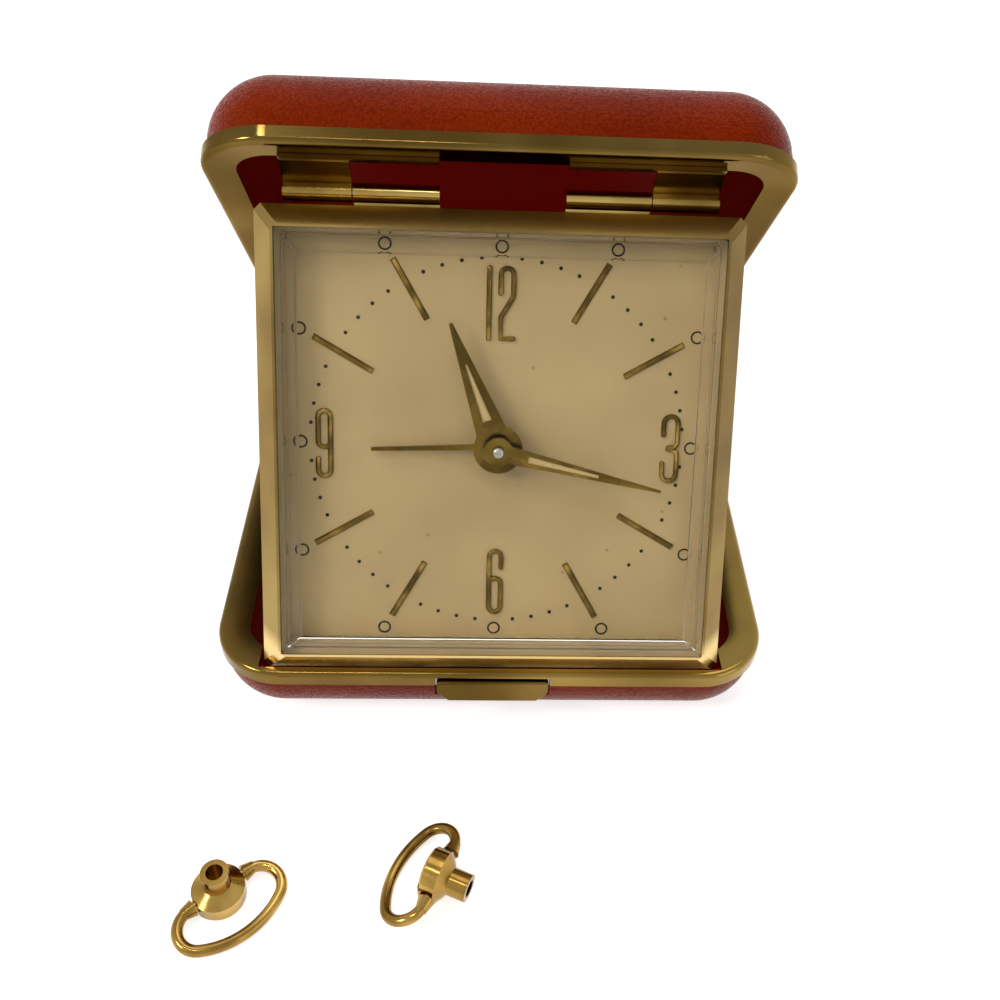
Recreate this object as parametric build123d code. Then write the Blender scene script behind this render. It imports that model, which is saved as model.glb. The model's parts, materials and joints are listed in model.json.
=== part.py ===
from build123d import *
import os
from math import acos, asin, atan2, cos, degrees, hypot, radians, sin, tan

# Folding travel alarm clock: a base shell, a lid hinged to it, a wind-up clock
# hinged inside the lid, and two folding winding keys lying in front of it.
# Millimetres. The front faces -Y, +Z is up, and the origin is the middle of the
# base's flat underside. Everything is drawn in the open display position.

# Case shells
CASE_WIDTH = 80.6
CASE_DEPTH = 81.8
BASE_DEPTH = 12.4
LID_DEPTH = 13.5
CASE_CORNER = 10.0
COVER_THICKNESS = 0.6
TRAY_THICKNESS = 0.4
LINING_THICKNESS = 0.2
GLUE_GAP = 0.05
EDGE_ROUND = 9.3

# Brass rims
RIM_PROUD = 0.6
RIM_SHEET = 0.5
RIM_HEIGHT = 2.3
RIM_ROLL = 0.8
RIM_FLAT = 1.0
RIM_REACH = 4.6
RIM_DROP = 0.4
RIM_SEAT = 1.0

# Hinge between base and lid
REAR_OFFSET = 1.8
REAR_KNUCKLE = 10.0
REAR_MIDDLE = 25.6
KNUCKLE_RADIUS = 1.3
PIN_RADIUS = 0.6
KNUCKLE_GAP = 0.2
LEAF_THICKNESS = 0.5
LEAF_HEIGHT = 1.6
LEAF_BELOW = 0.6

# Hinges between lid and clock, measured from the lid's front edge and rim plane
AXIS_INSET = 9.46
AXIS_PROUD = 2.25
STRAP_THICKNESS = 0.7
HINGE_INNER = 8.5
HINGE_MIDDLE = 20.0
HINGE_OUTER = 29.3

# Where the open clock's foot stands, measured from the base's front edge and rim plane
FOOT_INSET = 1.75
FOOT_DROP = 0.28
FOOT_CLEAR = 0.45
FOOT_SIDE = 0.8

# Front catch
CATCH_WIDTH = 16.0
CATCH_HEIGHT = 4.0
CATCH_THICKNESS = 1.1
CATCH_PROUD = 0.7
CATCH_BELOW = 1.0
CATCH_GAP = 0.3
STEM_WIDTH = 3.6
STEM_HEIGHT = 1.6
STEM_LENGTH = 3.2

# Clock case. Depths are measured back from the bezel's outer front edge.
BEZEL_WIDTH = 65.0
BEZEL_HEIGHT = 64.5
BEZEL_SIDE = 4.5
BEZEL_RISE = 2.5
BEZEL_BAND = 2.8
BEZEL_LIP = 0.35
BEZEL_FACET = 0.9
AXIS_ABOVE = 1.6
AXIS_BEHIND = 4.4
SEAT_WALL = 2.2
SEAT_GAP = 0.2
CRYSTAL_WALL = 0.9
CRYSTAL_BEVEL = 2.7
CRYSTAL_EDGE = 2.6
CRYSTAL_TOP = 4.0
DIAL_DEPTH = 3.0
DIAL_THICKNESS = 0.5
DIAL_RING_WALL = 1.3
BAND_INSET = 1.2
BAND_WALL = 0.7
CASE_BACK = 14.0
COVER_PLATE = 0.6
POST_RADIUS = 2.2
POST_INSET = 3.2
SCREW_RADIUS = 0.8
SCREW_HEAD = 1.5

# Movement layers, as depths
ALARM_LAYER = 3.9
HOUR_LAYER = 4.6
MINUTE_LAYER = 5.3
WHEEL_THICKNESS = 0.4
FRONT_PLATE = 6.2
PLATE_THICKNESS = 0.8
BACK_PLATE = 11.6
BACK_PLATE_SIZE = 50.0
CENTRE_LAYER = 7.3
STAR_LAYER = 7.3
ESCAPE_LAYER = 8.2
THIRD_LAYER = 9.0
BALANCE_LAYER = 9.6
FOURTH_LAYER = 10.2
HAIRSPRING_LAYER = 10.75
BARREL_FRONT = 8.1
BARREL_BACK = 11.3
BARREL_FACE = 0.5
BARREL_WALL = 0.6
SPRING_GAP = 0.2
PINION_OVER = 0.1
WHEEL_RIM = 0.9
WHEEL_HUB = 1.1
CENTRE_POST = 0.45
STUD_RADIUS = 0.5
PILLAR_REACH = 22.0
PILLAR_RADIUS = 1.3
DIAL_FOOT_X = 18.5
DIAL_FOOT_Y = 26.5
PIVOT_RADIUS = 0.35
ARBOR_RADIUS = 0.6
RUNNING_GAP = 0.05
PRESS_GAP = 0.02
TOOTH_PLAY = 0.18

# Tooth counts and modules
CANNON_TEETH = 12
MINUTE_TEETH = 36
MINUTE_MODULE = 0.25
MINUTE_PINION = 10
HOUR_TEETH = 40
HOUR_MODULE = 0.24
SETTING_TEETH = 12
ALARM_TEETH = 40
ALARM_PINION = 20
ALARM_MODULE = 0.3
BARREL_TEETH = 60
BARREL_MODULE = 0.3
CENTRE_PINION = 10
CENTRE_TEETH = 64
CENTRE_MODULE = 0.22
THIRD_PINION = 8
THIRD_TEETH = 60
THIRD_MODULE = 0.2
FOURTH_PINION = 8
FOURTH_TEETH = 60
FOURTH_MODULE = 0.18
ESCAPE_PINION = 8
ESCAPE_TEETH = 15
ESCAPE_RADIUS = 4.0
RINGING_TEETH = 50
STAR_PINION = 8
STAR_TEETH = 12
STAR_RADIUS = 3.2

# Hands, markers and the time shown
MINUTE_LENGTH = 23.2
HOUR_LENGTH = 18.5
ALARM_LENGTH = 17.5
HAND_THICKNESS = 0.25
MINUTE_HAND_DEPTH = -1.7
HOUR_HAND_DEPTH = 0.0
ALARM_HAND_DEPTH = 1.6
MINUTE_ANGLE = 103.0
HOUR_ANGLE = 338.6
ALARM_ANGLE = 268.0
BATON_INNER = 20.0
BATON_OUTER = 29.4
BATON_WIDTH = 0.9
BATON_HEIGHT = 0.3
CANNON_RADIUS = 0.75
HOUR_TUBE_RADIUS = 1.1
ALARM_TUBE_RADIUS = 1.5

# Knobs and winding arbors
STEM_RADIUS = 0.75
KNOB_RADIUS = 3.2
KNOB_HEIGHT = 2.6
KNOB_FLUTES = 24
KNOB_GAP = 0.3
STOP_RADIUS = 1.0
REGULATOR_REACH = 7.5
WINDING_RADIUS = 1.0
WINDING_END = 16.0
KEY_HOLE_RADIUS = 2.6

# Keys
KEY_DISC_RADIUS = 3.4
KEY_DISC_HEIGHT = 3.2
KEY_SLEEVE_RADIUS = 1.8
KEY_LENGTH = 6.0
KEY_PLAY = 0.1
KEY_PIVOT = 1.6
PIVOT_DEPTH = 1.3
WIRE_RADIUS = 0.75
WIRE_EAR = 1.15
EAR_LENGTH = 1.6
LOOP_HALF_WIDTH = 7.1
LOOP_TURN = 148.0
LEFT_KEY = (-35.1, -67.3)
LEFT_KEY_TURN = 220.6
RIGHT_KEY = (-8.3, -65.8)
RIGHT_KEY_TURN = -24.0

# Positions and directions worked out from the sizes above
RIM_PLANE = BASE_DEPTH
REAR_AXIS_Y = CASE_DEPTH / 2 + REAR_OFFSET
FRONT_EDGE = -CASE_DEPTH / 2
CATCH_TOP = RIM_PLANE - CATCH_BELOW

# The open case is a triangle of rear hinge, clock hinge and foot, which sets both angles
LID_REACH = CASE_DEPTH + REAR_OFFSET - AXIS_INSET
CLOCK_REACH = BEZEL_HEIGHT + AXIS_ABOVE
STAND_REACH = CASE_DEPTH + REAR_OFFSET - FOOT_INSET
LID_SIDE = hypot(LID_REACH, AXIS_PROUD)
CLOCK_SIDE = hypot(CLOCK_REACH, AXIS_BEHIND)
STAND_SIDE = hypot(STAND_REACH, FOOT_DROP)
STAND_SLOPE = atan2(FOOT_DROP, STAND_REACH)


def corner_angle(first, second, opposite):
    """The angle between two sides of a triangle, in radians."""
    return acos((first ** 2 + second ** 2 - opposite ** 2) / (2 * first * second))


REAR_CORNER = corner_angle(LID_SIDE, STAND_SIDE, CLOCK_SIDE)
FOOT_CORNER = corner_angle(CLOCK_SIDE, STAND_SIDE, LID_SIDE)
LID_OPEN = degrees(REAR_CORNER + atan2(AXIS_PROUD, LID_REACH) - STAND_SLOPE)
CLOCK_TILT = 90 - degrees(FOOT_CORNER + atan2(AXIS_BEHIND, CLOCK_REACH) + STAND_SLOPE)
LID_FLIP = Pos(0, 0, 2 * RIM_PLANE) * Rot(0, 180, 0)
LID_SHELL_FLIP = Pos(0, 0, RIM_PLANE + LID_DEPTH) * Rot(0, 180, 0)
TO_REAR = Pos(0, REAR_AXIS_Y, RIM_PLANE)
FROM_REAR = Pos(0, -REAR_AXIS_Y, -RIM_PLANE)
LID_PLACE = TO_REAR * Rot(-LID_OPEN, 0, 0) * FROM_REAR
CLOSED_AXIS = (FRONT_EDGE + AXIS_INSET, RIM_PLANE - AXIS_PROUD)
CLOCK_AXIS = (LID_PLACE * Pos(0, *CLOSED_AXIS)).position
AXIS_HEIGHT = BEZEL_HEIGHT / 2 + AXIS_ABOVE
CLOCK_PLACE = Pos(CLOCK_AXIS) * Rot(90 - CLOCK_TILT, 0, 0) * Pos(0, -AXIS_HEIGHT, AXIS_BEHIND)


def along(origin, angle, distance):
    """The point at a distance from origin, in a direction counter-clockwise from +X."""
    return (origin[0] + distance * cos(radians(angle)), origin[1] + distance * sin(radians(angle)))


def gear_distance(module, first, second):
    return module * (first + second) / 2


CENTRE = (0.0, 0.0)
MINUTE_STUD_TURN = -60.0
MINUTE_STUD = along(CENTRE, MINUTE_STUD_TURN, gear_distance(MINUTE_MODULE, CANNON_TEETH, MINUTE_TEETH))
TIME_STEM_TURN = -90.0
TIME_STEM = along(MINUTE_STUD, TIME_STEM_TURN, gear_distance(MINUTE_MODULE, MINUTE_TEETH, SETTING_TEETH))
ALARM_STEM_TURN = 90.0
ALARM_STEM = along(CENTRE, ALARM_STEM_TURN, gear_distance(ALARM_MODULE, ALARM_TEETH, ALARM_PINION))
BARREL_TURN = 205.0
BARREL = along(CENTRE, BARREL_TURN, gear_distance(BARREL_MODULE, BARREL_TEETH, CENTRE_PINION))
THIRD_TURN = 20.0
THIRD = along(CENTRE, THIRD_TURN, gear_distance(CENTRE_MODULE, CENTRE_TEETH, THIRD_PINION))
FOURTH_TURN = 15.0
FOURTH = along(THIRD, FOURTH_TURN, gear_distance(THIRD_MODULE, THIRD_TEETH, FOURTH_PINION))
ESCAPE_TURN = -80.0
ESCAPE = along(FOURTH, ESCAPE_TURN, gear_distance(FOURTH_MODULE, FOURTH_TEETH, ESCAPE_PINION))
LEVER_TURN = -90.0
LEVER = along(ESCAPE, LEVER_TURN, 5.8)
BALANCE_TURN = -115.0
BALANCE = along(LEVER, BALANCE_TURN, 8.0)
RINGING_BARREL = (-12.0, 13.5)
STAR_TURN = 20.0
STAR = along(RINGING_BARREL, STAR_TURN, gear_distance(BARREL_MODULE, RINGING_TEETH, STAR_PINION))
HAMMER_TURN = 20.0
HAMMER = along(STAR, HAMMER_TURN, 8.0)
STOP_BUTTON = (17.0, 16.0)


def plate(width, height, front, thickness):
    """A flat plate in the clock frame, its front face at a depth."""
    return Pos(0, 0, -front - thickness) * extrude(Rectangle(width, height), amount=thickness)


def disc(centre, radius, front, back):
    """A round solid in the clock frame between two depths."""
    return Pos(centre[0], centre[1], -back) * extrude(Circle(radius), amount=back - front)


def tube(centre, outer, inner, front, back):
    return disc(centre, outer, front, back) - disc(centre, inner, front - 1, back + 1)


def prism_x(points, start, end):
    """A solid with a cross-section of (y, z) points, from one x to another."""
    return Pos(start, 0, 0) * extrude(Plane.YZ * make_face(Polyline(*points, close=True)), amount=end - start)


def bar_x(y, z, radius, start, end):
    return Pos(start, y, z) * Rot(0, 90, 0) * extrude(Circle(radius), amount=end - start)


def mirror_pair(shape):
    return shape + mirror(shape, about=Plane.YZ)


def gear_outline(teeth, module, phase):
    """Involute teeth with play, as a polygon; one tooth points along phase degrees."""
    pitch_radius = module * teeth / 2
    base_radius = pitch_radius * cos(radians(20))
    root_radius = pitch_radius - 1.25 * module
    tip_radius = pitch_radius + 0.9 * module
    half_pitch = 90 / teeth * (1 - TOOTH_PLAY)

    def involute(radius):
        angle = acos(min(1.0, base_radius / radius))
        return degrees(tan(angle) - angle)

    flank = []
    for radius in (root_radius, max(base_radius, root_radius + 0.01), pitch_radius, tip_radius):
        flank.append((radius, half_pitch + involute(pitch_radius) - involute(radius)))
    points = []
    for tooth in range(teeth):
        middle = phase + 360 / teeth * tooth
        points += [along(CENTRE, middle - half, radius) for radius, half in flank]
        points += [along(CENTRE, middle + half, radius) for radius, half in reversed(flank)]
    return make_face(Polyline(*points, close=True))


def wheel_depths(layer):
    return layer, layer + WHEEL_THICKNESS


def pinion_depths(layer):
    """A pinion stands a little past both faces of the wheel it meets."""
    return layer - PINION_OVER, layer + WHEEL_THICKNESS + PINION_OVER


def gear(centre, teeth, module, phase, front, back):
    return Pos(centre[0], centre[1], -back) * extrude(gear_outline(teeth, module, phase), amount=back - front)


def mesh_phase(phase, teeth, direction, next_teeth):
    """The phase that lets the next wheel's gap meet a wheel's tooth, seen along direction."""
    part_pitch = ((direction - phase) / (360 / teeth)) % 1
    return direction + 180 - 360 / next_teeth * (0.5 - part_pitch)


def arbor(centre, radius=ARBOR_RADIUS):
    """A spindle that runs between the two plates, with a pivot in each."""
    front = FRONT_PLATE + PLATE_THICKNESS + 0.1
    back = BACK_PLATE - 0.1
    pivot = disc(centre, PIVOT_RADIUS, FRONT_PLATE + 0.1, BACK_PLATE + PLATE_THICKNESS - 0.1)
    return disc(centre, radius, front, back) + pivot


def spoked(centre, wheel, radius, hub, front, back):
    """A wheel lightened with four round holes between rim and hub."""
    hole = (radius - hub) * 0.36
    for turn in (45, 135, 225, 315):
        wheel -= disc(along(centre, turn, (radius + hub) / 2), hole, front - 1, back + 1)
    return wheel


# Shells

def pillow(inset, top):
    """The rounded outside of a shell, or the same surface moved inward."""
    width = CASE_WIDTH - 2 * (RIM_PROUD + inset)
    depth = CASE_DEPTH - 2 * (RIM_PROUD + inset)
    outline = RectangleRounded(width, depth, CASE_CORNER - RIM_PROUD - inset)
    block = Pos(0, 0, inset) * extrude(outline, amount=top - inset)
    return fillet(block.faces().sort_by(Axis.Z)[0].edges(), EDGE_ROUND - inset)


def skin(shell_depth, inset, thickness):
    """One layer of a shell, its floor down and its walls ending under the rim."""
    top = shell_depth - RIM_SEAT
    return pillow(inset, top) - pillow(inset + thickness, top + 1)


TRAY_INSET = COVER_THICKNESS + GLUE_GAP
LINING_INSET = TRAY_INSET + TRAY_THICKNESS + GLUE_GAP
FLOOR = LINING_INSET + LINING_THICKNESS


def rim():
    """Sheet-brass rim: outer wall, rolled edge, and a broad lip sloping a little inward."""
    slope = atan2(RIM_DROP, RIM_REACH - RIM_FLAT)
    roll = RIM_ROLL * (1 - cos(radians(45)))
    wall = Line((0, -RIM_HEIGHT), (0, -RIM_ROLL))
    edge = ThreePointArc((0, -RIM_ROLL), (roll, -roll), (RIM_ROLL, 0))
    rest = Polyline(
        (RIM_ROLL, 0),
        (RIM_FLAT, 0),
        (RIM_REACH, -RIM_DROP),
        (RIM_REACH - RIM_SHEET * sin(slope), -RIM_DROP - RIM_SHEET * cos(slope)),
        (RIM_FLAT - RIM_SHEET * tan(slope / 2), -RIM_SHEET),
        (RIM_SHEET, -RIM_SHEET),
        (RIM_SHEET, -RIM_HEIGHT),
        (0, -RIM_HEIGHT),
    )
    path = Pos(0, 0, RIM_PLANE) * RectangleRounded(CASE_WIDTH, CASE_DEPTH, CASE_CORNER).wire()
    inward = Vector(0, 0, 1).cross(path % 0)
    section = Plane(origin=path @ 0, x_dir=inward, z_dir=path % 0) * make_face(wall + edge + rest)
    return sweep(section, path=path)


plain_rim = rim()
catch_slot = Pos(0, FRONT_EDGE, 0) * Box(
    CATCH_WIDTH + 2 * CATCH_GAP, 2 * (RIM_SHEET + 0.05), 2 * (CATCH_TOP + CATCH_GAP)
)
CATCH_FRONT = FRONT_EDGE - CATCH_PROUD
CATCH_BOTTOM = CATCH_TOP - CATCH_HEIGHT
window_height = RIM_PLANE - CATCH_BOTTOM + CATCH_GAP
cover_window = Pos(0, FRONT_EDGE, CATCH_BOTTOM - CATCH_GAP + window_height / 2) * Box(
    CATCH_WIDTH + 2 * CATCH_GAP, 2 * (RIM_PROUD + COVER_THICKNESS + GLUE_GAP / 2), window_height
)
STEM_MIDDLE = CATCH_BOTTOM + CATCH_HEIGHT / 2 - 0.5
stem_hole = Pos(0, FRONT_EDGE + 2, STEM_MIDDLE) * Box(
    STEM_WIDTH + 2 * CATCH_GAP, 4, STEM_HEIGHT + 2 * CATCH_GAP
)

# The front lip is cut back where the clock's foot stands behind it
foot_recess = Pos(0, FRONT_EDGE + FOOT_INSET - FOOT_CLEAR + RIM_REACH / 2, RIM_PLANE) * Box(
    BEZEL_WIDTH + 2 * FOOT_SIDE, RIM_REACH, 2 * RIM_HEIGHT
)

base_cover = skin(BASE_DEPTH, 0, COVER_THICKNESS) - cover_window - stem_hole
base_tray = skin(BASE_DEPTH, TRAY_INSET, TRAY_THICKNESS) - stem_hole
base_lining = skin(BASE_DEPTH, LINING_INSET, LINING_THICKNESS) - stem_hole
base_rim = plain_rim - catch_slot - foot_recess
lid_cover = LID_PLACE * LID_SHELL_FLIP * skin(LID_DEPTH, 0, COVER_THICKNESS)
lid_tray = LID_PLACE * LID_SHELL_FLIP * skin(LID_DEPTH, TRAY_INSET, TRAY_THICKNESS)
lid_lining = LID_PLACE * LID_SHELL_FLIP * skin(LID_DEPTH, LINING_INSET, LINING_THICKNESS)
lid_rim = LID_PLACE * LID_FLIP * plain_rim


# Rear hinge: a leaf on each rim, knuckles round one pin

def rear_leaf(start, end):
    """One leaf with its knuckle, on the base side; the lid's is the same part turned over."""
    wall = CASE_DEPTH / 2
    top = RIM_PLANE - LEAF_BELOW
    face = wall + LEAF_THICKNESS
    shelf = top - LEAF_THICKNESS
    points = [(wall, top), (wall, top - LEAF_HEIGHT), (face, top - LEAF_HEIGHT)]
    points += [(face, shelf), (REAR_AXIS_Y, shelf), (REAR_AXIS_Y, top)]
    leaf = prism_x(points, start, end)
    knuckle = bar_x(REAR_AXIS_Y, RIM_PLANE, KNUCKLE_RADIUS, start, end)
    return leaf + knuckle - bar_x(REAR_AXIS_Y, RIM_PLANE, PIN_RADIUS + RUNNING_GAP, start - 1, end + 1)


rear_start = REAR_MIDDLE / 2 + KNUCKLE_GAP
rear_end = rear_start + REAR_KNUCKLE
base_hinge_leaf = mirror_pair(rear_leaf(rear_start, rear_end))
lid_hinge_leaf = LID_PLACE * LID_FLIP * rear_leaf(-REAR_MIDDLE / 2, REAR_MIDDLE / 2)
rear_hinge_pin = bar_x(REAR_AXIS_Y, RIM_PLANE, PIN_RADIUS, -rear_end, rear_end)


# Strap hinges, drawn on the closed lid

def strap_hinge():
    """A lap on the rim's lip, a strap down to the axis, and a knuckle."""
    axis_y, axis_z = CLOSED_AXIS
    slope = RIM_DROP / (RIM_REACH - RIM_FLAT)
    lap_start = RIM_REACH - 1.3

    def on_slope(reach, below):
        return (FRONT_EDGE + reach, RIM_PLANE + slope * (reach - RIM_FLAT) - below)

    lap_points = [on_slope(lap_start, 0.05), on_slope(RIM_REACH, 0.05)]
    lap_points += [on_slope(RIM_REACH, 0.6), on_slope(lap_start, 0.6)]
    lap = prism_x(lap_points, HINGE_INNER, HINGE_OUTER)
    top_y, top_z = on_slope(RIM_REACH - 0.3, 0.05)
    run = hypot(axis_y - top_y, axis_z + KNUCKLE_RADIUS - top_z)
    across = STRAP_THICKNESS * (axis_y - top_y) / run
    strap_points = [(top_y, top_z), (axis_y, axis_z + KNUCKLE_RADIUS)]
    strap_points += [(axis_y, axis_z + KNUCKLE_RADIUS - across), (top_y, top_z - across)]
    strap = prism_x(strap_points, HINGE_MIDDLE + KNUCKLE_GAP, HINGE_OUTER)
    knuckle = bar_x(axis_y, axis_z, KNUCKLE_RADIUS, HINGE_MIDDLE + KNUCKLE_GAP, HINGE_OUTER)
    bore = bar_x(axis_y, axis_z, PIN_RADIUS + RUNNING_GAP, HINGE_INNER, HINGE_OUTER + 1)
    return lap + strap + knuckle - bore


right_strap = strap_hinge()
lid_straps = LID_PLACE * mirror_pair(right_strap)
right_pin = bar_x(CLOSED_AXIS[0], CLOSED_AXIS[1], PIN_RADIUS, HINGE_INNER, HINGE_OUTER)
lid_strap_pins = LID_PLACE * mirror_pair(right_pin)


# Front catch: a sprung push plate with a stem through the wall

def catch():
    low = CATCH_WIDTH / 2 - 1.6
    outline = make_face(
        Polyline((-low, 0), (-CATCH_WIDTH / 2, 1.8), (-CATCH_WIDTH / 2, CATCH_HEIGHT),
                 (CATCH_WIDTH / 2, CATCH_HEIGHT), (CATCH_WIDTH / 2, 1.8), (low, 0), close=True)
    )
    push = extrude(outline, amount=CATCH_THICKNESS)
    push = fillet(push.edges().filter_by(Axis.Z), 0.5)
    push = fillet(push.faces().sort_by(Axis.Z)[-1].edges(), 0.3)
    push = Pos(0, CATCH_FRONT + CATCH_THICKNESS, CATCH_BOTTOM) * Rot(90, 0, 0) * push
    stem_front = CATCH_FRONT + CATCH_THICKNESS
    stem = Pos(0, stem_front + STEM_LENGTH / 2, STEM_MIDDLE) * Box(STEM_WIDTH, STEM_LENGTH, STEM_HEIGHT)
    return push + stem


catch_plate = catch()


def catch_leaf_spring():
    """A bent strip under the stem: its foot on the lining, its blade behind the stem."""
    blade_y = CATCH_FRONT + CATCH_THICKNESS + STEM_LENGTH + 1.1
    foot_y = FRONT_EDGE + RIM_PROUD + EDGE_ROUND + 0.8
    top = STEM_MIDDLE + STEM_HEIGHT / 2
    bend = FLOOR + 3.5
    points = [(blade_y, top), (blade_y, bend), (foot_y, FLOOR), (foot_y + 7, FLOOR)]
    points += [(foot_y + 7, FLOOR + 0.4), (foot_y + 0.2, FLOOR + 0.4)]
    points += [(blade_y + 0.4, bend + 0.3), (blade_y + 0.4, top)]
    return prism_x(points, -STEM_WIDTH / 2, STEM_WIDTH / 2)


catch_spring = catch_leaf_spring()


# Clock case

def facet_rectangle(width, height, facet):
    """A rectangle with its corners cut off."""
    x, y = width / 2, height / 2
    points = [(x, y - facet), (x - facet, y), (facet - x, y), (-x, y - facet)]
    points += [(-x, facet - y), (facet - x, -y), (x - facet, -y), (x, facet - y)]
    return make_face(Polyline(*points, close=True))


OPENING_WIDTH = BEZEL_WIDTH - 2 * BEZEL_BAND
OPENING_HEIGHT = BEZEL_HEIGHT - 2 * BEZEL_BAND
SEAT_WIDTH = BEZEL_WIDTH - 2 * SEAT_WALL
SEAT_HEIGHT = BEZEL_HEIGHT - 2 * SEAT_WALL
FLANGE_TOP = CRYSTAL_WALL


def make_bezel():
    """Raised square bezel: four faces sloping up to the crystal, cut corners, a rear seat."""
    foot = facet_rectangle(BEZEL_WIDTH, BEZEL_HEIGHT, BEZEL_FACET)
    crest_inset = 2 * (BEZEL_BAND - BEZEL_LIP)
    crest = facet_rectangle(BEZEL_WIDTH - crest_inset, BEZEL_HEIGHT - crest_inset, BEZEL_FACET)
    body = Pos(0, 0, -BEZEL_SIDE) * extrude(foot, amount=BEZEL_SIDE)
    body += loft([foot, Pos(0, 0, BEZEL_RISE) * crest], ruled=True)
    body -= Pos(0, 0, -BEZEL_SIDE - 1) * extrude(Rectangle(OPENING_WIDTH, OPENING_HEIGHT), amount=20)
    seat_height = BEZEL_SIDE + 1 + FLANGE_TOP + GLUE_GAP
    body -= Pos(0, 0, -BEZEL_SIDE - 1) * extrude(Rectangle(SEAT_WIDTH, SEAT_HEIGHT), amount=seat_height)
    return body


bezel = make_bezel()


def make_crystal():
    """Pressed clear crystal: a flange under the bezel, a straight wall, a bevel and a flat top."""
    width = OPENING_WIDTH - 2 * SEAT_GAP
    height = OPENING_HEIGHT - 2 * SEAT_GAP

    def raised(shrink, edge, top):
        wide = Rectangle(width - shrink, height - shrink)
        narrow = Rectangle(width - shrink - 2 * CRYSTAL_BEVEL, height - shrink - 2 * CRYSTAL_BEVEL)
        bevel = loft([Pos(0, 0, edge) * wide, Pos(0, 0, top) * narrow], ruled=True)
        return extrude(wide, amount=edge) + bevel

    flange = extrude(Rectangle(SEAT_WIDTH - 2 * SEAT_GAP, SEAT_HEIGHT - 2 * SEAT_GAP), amount=FLANGE_TOP)
    outside = raised(0, CRYSTAL_EDGE, CRYSTAL_TOP)
    inside = raised(2 * CRYSTAL_WALL, CRYSTAL_EDGE - 0.4, CRYSTAL_TOP - 1.0)
    return flange + outside - inside


crystal = make_crystal()
ring_width = SEAT_WIDTH - 2 * SEAT_GAP
ring_height = SEAT_HEIGHT - 2 * SEAT_GAP
dial_ring = plate(ring_width, ring_height, 0, DIAL_DEPTH)
dial_ring -= plate(ring_width - 2 * DIAL_RING_WALL, ring_height - 2 * DIAL_RING_WALL, -1, DIAL_DEPTH + 2)
dial = plate(ring_width, ring_height, DIAL_DEPTH, DIAL_THICKNESS)
dial -= disc(CENTRE, ALARM_TUBE_RADIUS + 2 * RUNNING_GAP, 0, 10)


def hour_markers():
    """Eight raised batons between the quarter hours, in loops round the dial."""
    batons = []
    for hour in (1, 2, 4, 5, 7, 8, 10, 11):
        foot = Rectangle(BATON_OUTER - BATON_INNER, BATON_WIDTH)
        crest = Rectangle(BATON_OUTER - BATON_INNER - 0.3, BATON_WIDTH - 0.4)
        baton = loft([foot, Pos(0, 0, BATON_HEIGHT) * crest], ruled=True)
        middle = (BATON_OUTER + BATON_INNER) / 2
        batons.append(Pos(0, 0, -DIAL_DEPTH) * Rot(0, 0, 90 - 30 * hour) * Pos(middle, 0, 0) * baton)
    return Compound(children=batons)


hour_batons = hour_markers()
DIAL_BACK = DIAL_DEPTH + DIAL_THICKNESS
DIAL_FOOT_END = FRONT_PLATE + PLATE_THICKNESS + 0.4
DIAL_FOOT_POINTS = [(x, y) for x in (-DIAL_FOOT_X, DIAL_FOOT_X) for y in (-DIAL_FOOT_Y, DIAL_FOOT_Y)]
PILLAR_POINTS = [(x, y) for x in (-PILLAR_REACH, PILLAR_REACH) for y in (-PILLAR_REACH, PILLAR_REACH)]
dial_feet = Compound(children=[
    disc(point, 1.4, DIAL_BACK, FRONT_PLATE) + disc(point, SCREW_RADIUS, DIAL_BACK, DIAL_FOOT_END)
    for point in DIAL_FOOT_POINTS
])

BAND_WIDTH = BEZEL_WIDTH - 2 * BAND_INSET
BAND_HEIGHT = BEZEL_HEIGHT - 2 * BAND_INSET
BAND_BACK = CASE_BACK - COVER_PLATE
PLATE_BACK = FRONT_PLATE + PLATE_THICKNESS
POST_X = BAND_WIDTH / 2 - POST_INSET
POST_Y = BAND_HEIGHT / 2 - POST_INSET
POST_POINTS = [(x, y) for x in (-POST_X, POST_X) for y in (-POST_Y, POST_Y)]


def make_case_band():
    """The clock's side walls, with a screw post in each corner behind the front plate."""
    band = plate(BAND_WIDTH, BAND_HEIGHT, BEZEL_SIDE, BAND_BACK - BEZEL_SIDE)
    inner = plate(BAND_WIDTH - 2 * BAND_WALL, BAND_HEIGHT - 2 * BAND_WALL, 0, BAND_BACK + 1)
    band -= inner
    for x, y in POST_POINTS:
        post = disc((x, y), POST_RADIUS, PLATE_BACK, BAND_BACK)
        corner_x = x + (POST_INSET - BAND_WALL / 2) * (1 if x > 0 else -1) / 2
        corner_y = y + (POST_INSET - BAND_WALL / 2) * (1 if y > 0 else -1) / 2
        block_size = POST_INSET - BAND_WALL / 2
        block = Pos(corner_x, corner_y, 0) * plate(block_size, block_size, PLATE_BACK, BAND_BACK - PLATE_BACK)
        band += post + block
    for point in POST_POINTS:
        band -= disc(point, SCREW_RADIUS + RUNNING_GAP, PLATE_BACK + 1, CASE_BACK)
    return band


case_band = make_case_band()


def make_back_cover():
    cover_plate = plate(BAND_WIDTH, BAND_HEIGHT, BAND_BACK, COVER_PLATE)
    holes = [(point, KEY_HOLE_RADIUS) for point in (BARREL, RINGING_BARREL)]
    holes += [(point, STEM_RADIUS + 0.15) for point in (TIME_STEM, ALARM_STEM)]
    holes += [(point, SCREW_RADIUS + RUNNING_GAP) for point in POST_POINTS]
    holes.append((STOP_BUTTON, STOP_RADIUS + RUNNING_GAP))
    for point, radius in holes:
        cover_plate -= disc(point, radius, BAND_BACK - 1, CASE_BACK + 1)
    slot_middle = along(BALANCE, 0, REGULATOR_REACH)
    slot = Pos(slot_middle[0] - 0.6, slot_middle[1], -CASE_BACK) * Box(3.2, 6.4, 4)
    return cover_plate - slot


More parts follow.
